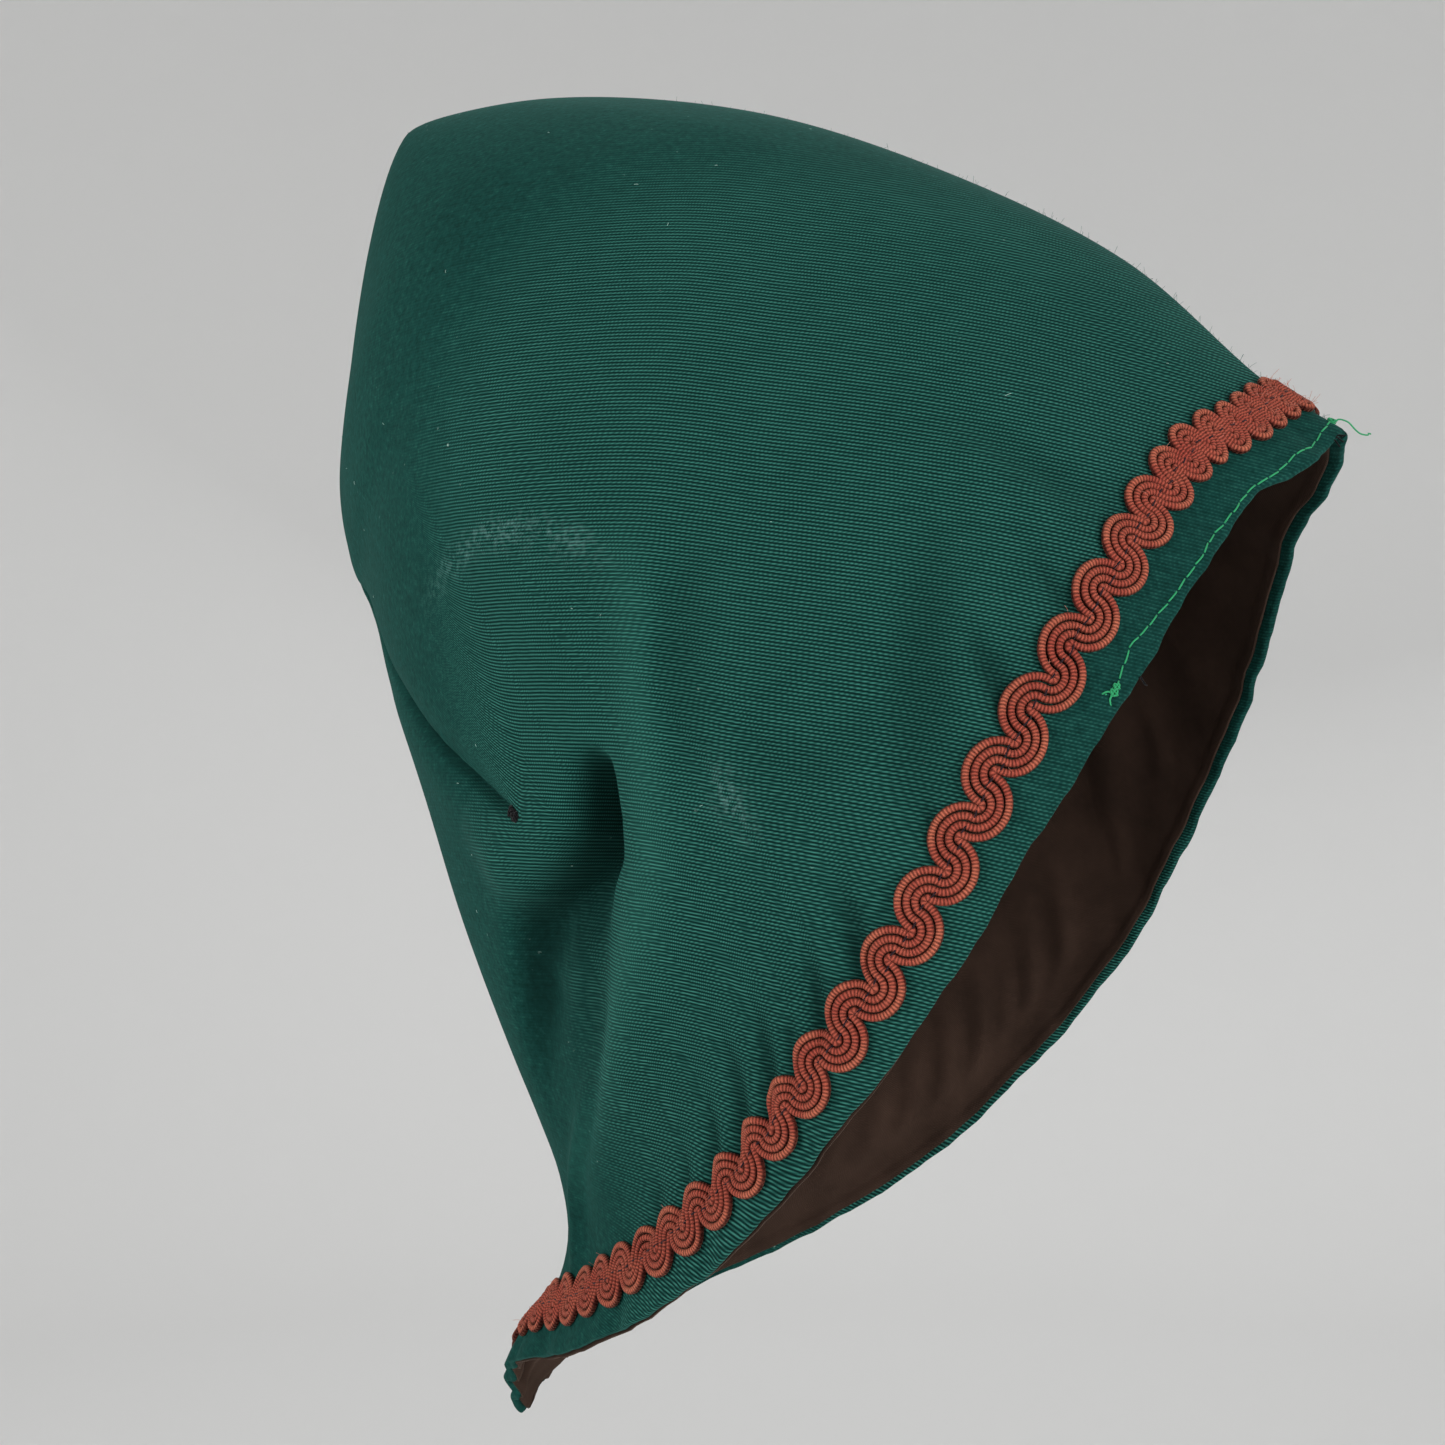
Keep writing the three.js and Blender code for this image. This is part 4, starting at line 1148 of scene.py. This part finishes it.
gimp, gimp_shader, wire = new_finish("wound_rust_cord", 0.6, 0.15)
gimp_shader.inputs["Sheen Tint"].default_value = (1.0, 0.45, 0.3, 1)
winding = wire.node("ShaderNodeAttribute", {"attribute_name": "winding"}, output=1)
places = winding.node("ShaderNodeSeparateXYZ", None, {0: winding})
round_cord = Wire(places.socket.node.outputs[1])
outer_cord = Wire(places.socket.node.outputs[2])
tone = wire.node("ShaderNodeTexCoord", output=3)
fibres = tone.node("ShaderNodeTexNoise", None, {"Vector": tone, "Scale": 1500.0, "Detail": 2.0})
faded = tone.node("ShaderNodeTexNoise", None, {"Vector": tone, "Scale": 170.0, "Detail": 3.0})
coil_turn = places * (2 * math.pi / WINDING) + round_cord * 0.9 + faded * 6.0
coil = coil_turn.maths("SINE") * 0.5 + 0.5
# Painted light on the cords: their tops are painted lighter, and their sides and undersides dark as shade. On top, the
# gaps between windings are painted darker as shade.
on_top = (round_cord * 1.5 - 0.4).maths("MAXIMUM", 0.0).maths("MINIMUM", 1.0)
lit = on_top * (0.22 + coil * 0.85) + fibres * 0.7 - 0.3
rust = blend_colours(outer_cord * 0.45 + faded * 0.9 - 0.25, BRAID_INNER, BRAID_OUTER)
rust = blend_colours(lit.maths("MAXIMUM", 0.0).maths("MINIMUM", 1.0), BRAID_PAINTED_SHADE, rust)
paint(gimp, gimp_shader, "Base Color", rust)
bump = wire.node("ShaderNodeBump", None, {"Strength": 0.8, "Distance": 0.00025, "Height": coil + fibres * 0.4})
paint(gimp, gimp_shader, "Normal", bump)

cords = []
for cord_radius in CORDS:
    lobe, width = [], []
    for n in range(lobe_count):
        steps = max(8, round(math.pi * cord_radius / CORD_STEP))
        angle = np.arange(steps) / steps * np.pi
        lobe.append(n - cord_radius / HALF_PITCH / 2 * np.cos(angle))
        width.append(cord_radius * np.sin(angle))
        other = HALF_PITCH - cord_radius
        steps = max(8, round(math.pi * other / CORD_STEP))
        angle = np.arange(steps) / steps * np.pi
        lobe.append(n + 0.5 - other / HALF_PITCH / 2 * np.cos(angle))
        width.append(-other * np.sin(angle))
    width = np.concatenate(width)
    flat, normals = band_point(np.concatenate(lobe), width)
    heights = evened(height_of_cloth(flat, normals), 3)
    centres = flat + normals * (heights + CORD_HEIGHT + BRAID_LIFT)[:, None]
    outermost = smooth_step(np.abs(width), 0.0035, 0.005)
    cords.append(tube(centres, normals, CORD_RADIUS, CORD_HEIGHT, CORD_SIDES, True, outermost))
braid = joined_object("gimp_braid", cords, gimp, "winding")
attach(braid, "root")
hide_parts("braid")

# Fuzz of the worn braid, thickest at the peak and at the nape, where the cords have felted
BRAID_HAIRS = 520
BRAID_HAIR_RADIUS = 0.00004
BRAID_HAIR_SPREAD = 0.07
BRAID_FUZZ = (0.5, 0.14, 0.085, 1)

felt_finish, felt_shader, wire = new_finish("braid_fuzz", 0.8, 0.3)
felt_shader.inputs["Base Color"].default_value = BRAID_FUZZ
chance = np.random.default_rng(11)
felt_lobes = np.concatenate((
    lobe_count * BRAID_HAIR_SPREAD * chance.normal(0, 0.6, BRAID_HAIRS // 2),
    lobe_count * (0.5 + BRAID_HAIR_SPREAD * chance.normal(0, 0.6, BRAID_HAIRS // 4)),
    lobe_count * chance.random(BRAID_HAIRS // 4),
))
flat, normals = band_point(felt_lobes, chance.uniform(-0.0045, 0.0055, len(felt_lobes)))
felt = []
for start, out, rise in zip(flat, normals, height_of_cloth(flat, normals)):
    share = np.linspace(0, 1, 5)[:, None]
    lean = chance.normal(0, 0.6, 3) + out
    bend = chance.normal(0, 0.5, 3)
    length = 0.0006 + 0.0012 * chance.random() ** 2
    centres = start + out * (rise + CORD_HEIGHT * 1.5) + length * (share * unit(lean) + share ** 2 * bend)
    felt.append(tube(centres, np.broadcast_to(unit(bend), centres.shape), BRAID_HAIR_RADIUS, BRAID_HAIR_RADIUS, 3, False))
braid_fuzz = joined_object("braid_fuzz", felt, felt_finish, "winding")
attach(braid_fuzz, "root")

# Dark sewing thread that holds the braid down in short stitches along its middle line
SEWING_STITCH = 0.0028
SEWING_GAP = 0.0033
SEWING_RADIUS = 0.00017
SEWING_DARK = (0.018, 0.008, 0.012, 1)

sewing, sewing_shader, wire = new_finish("dark_sewing_thread", 0.7, 0.1)
sewing_shader.inputs["Base Color"].default_value = SEWING_DARK
stitch_count = round(loop_run[-1] / SEWING_GAP)
stitches = []
for n in range(stitch_count):
    share = np.linspace(-0.5, 0.5, 7)
    run = (n + 0.5) * SEWING_GAP + share * SEWING_STITCH
    lobe = np.interp(run, loop_run, lobes)
    width = 0.0004 * np.sin(n * 2.4) + 0.0005 * share * np.cos(n * 1.7)
    centres, normals = band_point(lobe, width)
    lift = 2 * CORD_HEIGHT - 0.00016 + 0.00012 * np.cos(share * np.pi) - 0.0007 * (2 * np.abs(share)) ** 4
    heights = height_of_cloth(centres, normals) + lift
    stitches.append(tube(centres + normals * heights[:, None], normals, SEWING_RADIUS, SEWING_RADIUS, 5, False))
sewn = joined_object("braid_stitches", stitches, sewing, "winding")
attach(sewn, "root")

# Black thread knot at the tip of the dart, and black cut ends of thread at the peak and the edge
KNOT_RADIUS = 0.0003
KNOT_LONG = 0.0024
KNOT_WIDE = 0.0009
KNOT_TURNS = 5
BLACK_THREAD = (0.006, 0.006, 0.007, 1)
CUT_ENDS = [
    {"down": 0.0089, "inset": 0.0004, "forward": 0.0022, "up": 0.0006},
    {"down": 0.0095, "inset": 0.0005, "forward": 0.002, "up": -0.0006},
    {"down": 0.0105, "inset": 0.0006, "forward": 0.0016, "up": -0.0014},
    {"down": 0.0082, "inset": 0.0003, "forward": 0.0012, "up": 0.0003},
    {"down": 0.201, "inset": 0.0003, "forward": 0.0018, "up": -0.0012},
    {"down": 0.2, "inset": 0.0002, "forward": 0.0012, "up": -0.0013},
]


def on_panel(down, inset, side=RIGHT):
    """Points of the outer cloth by share down the edge and distance from it, and directions out."""
    turn = np.arccos(1 - 2 * np.asarray(down, float)) / np.pi
    back = np.asarray(inset, float) / np.interp(turn, trace, edge_reach[side])
    return dressed_panel(back, turn, side)


black, black_shader, wire = new_finish("black_thread", 0.75, 0.1)
black_shader.inputs["Base Color"].default_value = BLACK_THREAD
tip_turn = DART_TIP_TURN + 0.011
tip_back = float(dart_back(np.array([tip_turn]))[0])
knot_middle, knot_out = dressed_panel(np.array([tip_back]), np.array([tip_turn]), RIGHT)
seam_way = dressed_panel(dart_back(np.array([tip_turn + 0.1])), np.array([tip_turn + 0.1]), RIGHT)[0]
knot_along = unit(seam_way - knot_middle)[0]
knot_across = unit(np.cross(knot_out[0], knot_along))
angle = np.linspace(0, 2 * np.pi, 120, endpoint=False)
knot_path = knot_middle[0] + knot_out[0] * (0.0008 + 0.0005 * np.cos(angle * (KNOT_TURNS * 2 + 1)))[:, None]
knot_path = knot_path + knot_along * (KNOT_LONG * np.sin(angle * 2) * (0.75 + 0.25 * np.cos(angle * 7)))[:, None]
knot_path = knot_path + knot_across * (KNOT_WIDE * np.sin(angle * KNOT_TURNS))[:, None]
black_parts = [tube(knot_path, np.broadcast_to(knot_out[0], knot_path.shape), KNOT_RADIUS, KNOT_RADIUS, 5, True)]
for end in CUT_ENDS:
    start, out = on_panel(np.array([end["down"]]), np.array([end["inset"]]))
    share = np.linspace(0, 1, 6)[:, None]
    reach = np.array((end["forward"], -0.0003, end["up"]))
    centres = start - out * 0.0006 + share * reach + np.array((0, 0, 1)) * 0.0003 * np.sin(share * 5)
    black_parts.append(tube(centres, np.broadcast_to(out[0], centres.shape), 0.00016, 0.00016, 5, False))
black_threads = joined_object("black_thread_ends", black_parts, black, "winding")
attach(black_threads, "root")

# Mending thread: a bright green running stitch near the edge, from a knot with a loose tail at the
# peak to a frayed knot with a loop on the cheek.
MENDING_RADIUS = 0.00018
MENDING_STITCH = 0.0033
MENDING_GREEN = (0.03, 0.32, 0.13, 1)
MENDING = [
    {"down": 0.0019, "inset": 0.0037},
    {"down": 0.0127, "inset": 0.0031},
    {"down": 0.0226, "inset": 0.0026},
    {"down": 0.0375, "inset": 0.0033},
    {"down": 0.0476, "inset": 0.0026},
    {"down": 0.0589, "inset": 0.0014},
    {"down": 0.0745, "inset": 0.0016},
    {"down": 0.0847, "inset": 0.0014},
    {"down": 0.103, "inset": 0.0021},
    {"down": 0.127, "inset": 0.0021},
    {"down": 0.1398, "inset": 0.0021},
    {"down": 0.1532, "inset": 0.0026},
    {"down": 0.167, "inset": 0.0032},
    {"down": 0.1813, "inset": 0.0042},
    {"down": 0.1911, "inset": 0.0048},
    {"down": 0.201, "inset": 0.0041},
    {"down": 0.2112, "inset": 0.0035},
    {"down": 0.2216, "inset": 0.0026},
]
# Loose ends: where they start, then steps along x, y and z in millimetres
LOOSE_ENDS = [
    {"down": 0.0021, "inset": 0.0032, "steps": [(0.3, -0.3, 0.5), (1.6, 0.1, 0.7), (3.2, 0.3, 0), (4.4, 0.5, -1.6),
                                              (5.4, 0.7, -2.6), (6.8, 0.8, -3), (7.6, 0.8, -2.7)]},
    {"down": 0.2216, "inset": 0.0026, "steps": [(0, -0.2, 0.2), (-0.5, -0.7, -0.8), (-0.3, -0.6, -2.1), (0, -0.4, -3)]},
    {"down": 0.2216, "inset": 0.0028, "steps": [(0, -0.2, 0.4), (-1, -0.9, 0.5), (-2.2, -0.9, -0.3), (-2.6, -0.7, -1.5),
                                              (-2, -0.6, -1.3), (-1, -0.6, 0.1)]},
    {"down": 0.217, "inset": 0.0032, "steps": [(0, -0.2, 0), (-0.9, -0.8, -0.8), (-1.5, -1, -1.9), (-2.3, -0.9, -2.4)]},
]

mending, mending_shader, wire = new_finish("bright_green_thread", 0.55, 0.2)
mending_shader.inputs["Base Color"].default_value = MENDING_GREEN
mending_shader.inputs["Sheen Tint"].default_value = (0.5, 1.0, 0.65, 1)
rough = np.linspace(MENDING[0]["down"], MENDING[-1]["down"], 600)
route, route_out = on_panel(rough, smooth_table(MENDING, "down", "inset")(rough))
run = np.concatenate(([0], np.cumsum(np.linalg.norm(np.diff(route, axis=0), axis=1))))
green_parts = []
for n in range(int(run[-1] / MENDING_STITCH)):
    share = np.linspace(0, 1, 8)
    at = (n + 0.07 + 0.84 * share) * MENDING_STITCH
    centres = np.stack([np.interp(at, run, route[:, k]) for k in range(3)], -1)
    out = unit(np.stack([np.interp(at, run, route_out[:, k]) for k in range(3)], -1))
    lift = 0.0002 * np.sin(share * np.pi) ** 0.5 - 0.00008
    sideways = unit(np.cross(out, np.gradient(centres, axis=0)))
    centres = centres + out * lift[:, None] + sideways * (0.00016 * np.sin(n * 1.9) * (1 - 2 * share))[:, None]
    green_parts.append(tube(centres, out, MENDING_RADIUS, MENDING_RADIUS, 5, False))
for end in LOOSE_ENDS:
    start, out = on_panel(np.array([end["down"]]), np.array([end["inset"]]))
    steps = np.array(end["steps"]) / 1000
    way = np.linspace(0, len(steps) - 1, 6 * len(steps))
    centres = start[0] + np.stack([np.interp(way, range(len(steps)), steps[:, k]) for k in range(3)], -1)
    inner = evened(centres, 5)
    inner[[0, 1, -2, -1]] = centres[[0, 1, -2, -1]]
    green_parts.append(tube(inner, np.broadcast_to(out[0], inner.shape), MENDING_RADIUS, MENDING_RADIUS, 5, False))
for down, inset, size in ((0.0018, 0.0036, 0.0007), (0.2205, 0.0027, 0.0006), (0.2165, 0.003, 0.0005)):
    middle, out = on_panel(np.array([down]), np.array([inset]))
    first = unit(np.cross(out[0], (0, 0, 1)))
    second = np.cross(out[0], first)
    angle = np.linspace(0, 2 * np.pi, 60, endpoint=False)
    knot = middle[0] + out[0] * (0.0003 + 0.00025 * np.cos(angle * 7))[:, None]
    knot = knot + first * (size * np.sin(angle * 3))[:, None] + second * (size * np.cos(angle * 4))[:, None]
    green_parts.append(tube(knot, np.broadcast_to(out[0], knot.shape), MENDING_RADIUS, MENDING_RADIUS, 5, True))
mended = joined_object("green_mending_thread", green_parts, mending, "winding")
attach(mended, "root")

# Fuzz of the worn cloth: short hairs that stand along the crown seam and the edge, and pale lint
HAIR_RADIUS = 0.000035
HAIR_COUNT = 260
LINT_COUNT = 40
HAIR_GREEN = (0.03, 0.13, 0.11, 1)
LINT_PALE = (0.3, 0.48, 0.42, 1)

chance = np.random.default_rng(7)
hair_finish, hair_shader, wire = new_finish("cloth_fuzz", 0.8, 0.3)
hair_shader.inputs["Base Color"].default_value = HAIR_GREEN
hairs = []
for side in (RIGHT, LEFT):
    back = 0.02 + 0.7 * chance.random(HAIR_COUNT // 2) ** 1.3
    turn = 0.002 + 0.02 * chance.random(HAIR_COUNT // 2)
    for start, out in zip(*dressed_panel(back, turn, side)):
        share = np.linspace(0, 1, 5)[:, None]
        lean = chance.normal(0, 0.5, 3) + out + np.array((0, 0, 0.6))
        length = 0.0005 + 0.0011 * chance.random() ** 2
        bend = chance.normal(0, 0.4, 3)
        centres = start + length * (share * unit(lean) + share ** 2 * bend)
        hairs.append(tube(centres, np.broadcast_to(unit(bend), centres.shape), HAIR_RADIUS, HAIR_RADIUS, 3, False))
fuzz_hairs = joined_object("crown_fuzz", hairs, hair_finish, "winding")
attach(fuzz_hairs, "root")

lint_finish, lint_shader, wire = new_finish("pale_lint", 0.8, 0.2)
lint_shader.inputs["Base Color"].default_value = LINT_PALE
flecks = []
for side in (RIGHT, LEFT):
    back = 0.12 + 0.6 * chance.random(LINT_COUNT // 2)
    turn = 0.12 + 0.7 * chance.random(LINT_COUNT // 2)
    lengths = 0.0003 + 0.0007 * chance.random(LINT_COUNT // 2)
    if side == RIGHT:
        back[0], turn[0], lengths[0] = 0.203, 0.252, 0.0014
    for start, out, length in zip(*dressed_panel(back, turn, side), lengths):
        way = unit(np.cross(out, chance.normal(0, 1, 3)))
        share = np.linspace(-0.5, 0.5, 5)[:, None]
        centres = start + out * (0.00008 + 0.0001 * np.cos(share * 3)) + way * share * length
        centres = centres + np.cross(out, way) * (0.0002 * share ** 2 * chance.normal())
        flecks.append(tube(centres, np.broadcast_to(out, centres.shape), 0.00006, 0.00006, 4, False))
lint_flecks = joined_object("lint_flecks", flecks, lint_finish, "winding")
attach(lint_flecks, "root")

size = {"cad": [list(corner) for corner in cad_box], "visual": [list(corner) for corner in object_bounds()]}
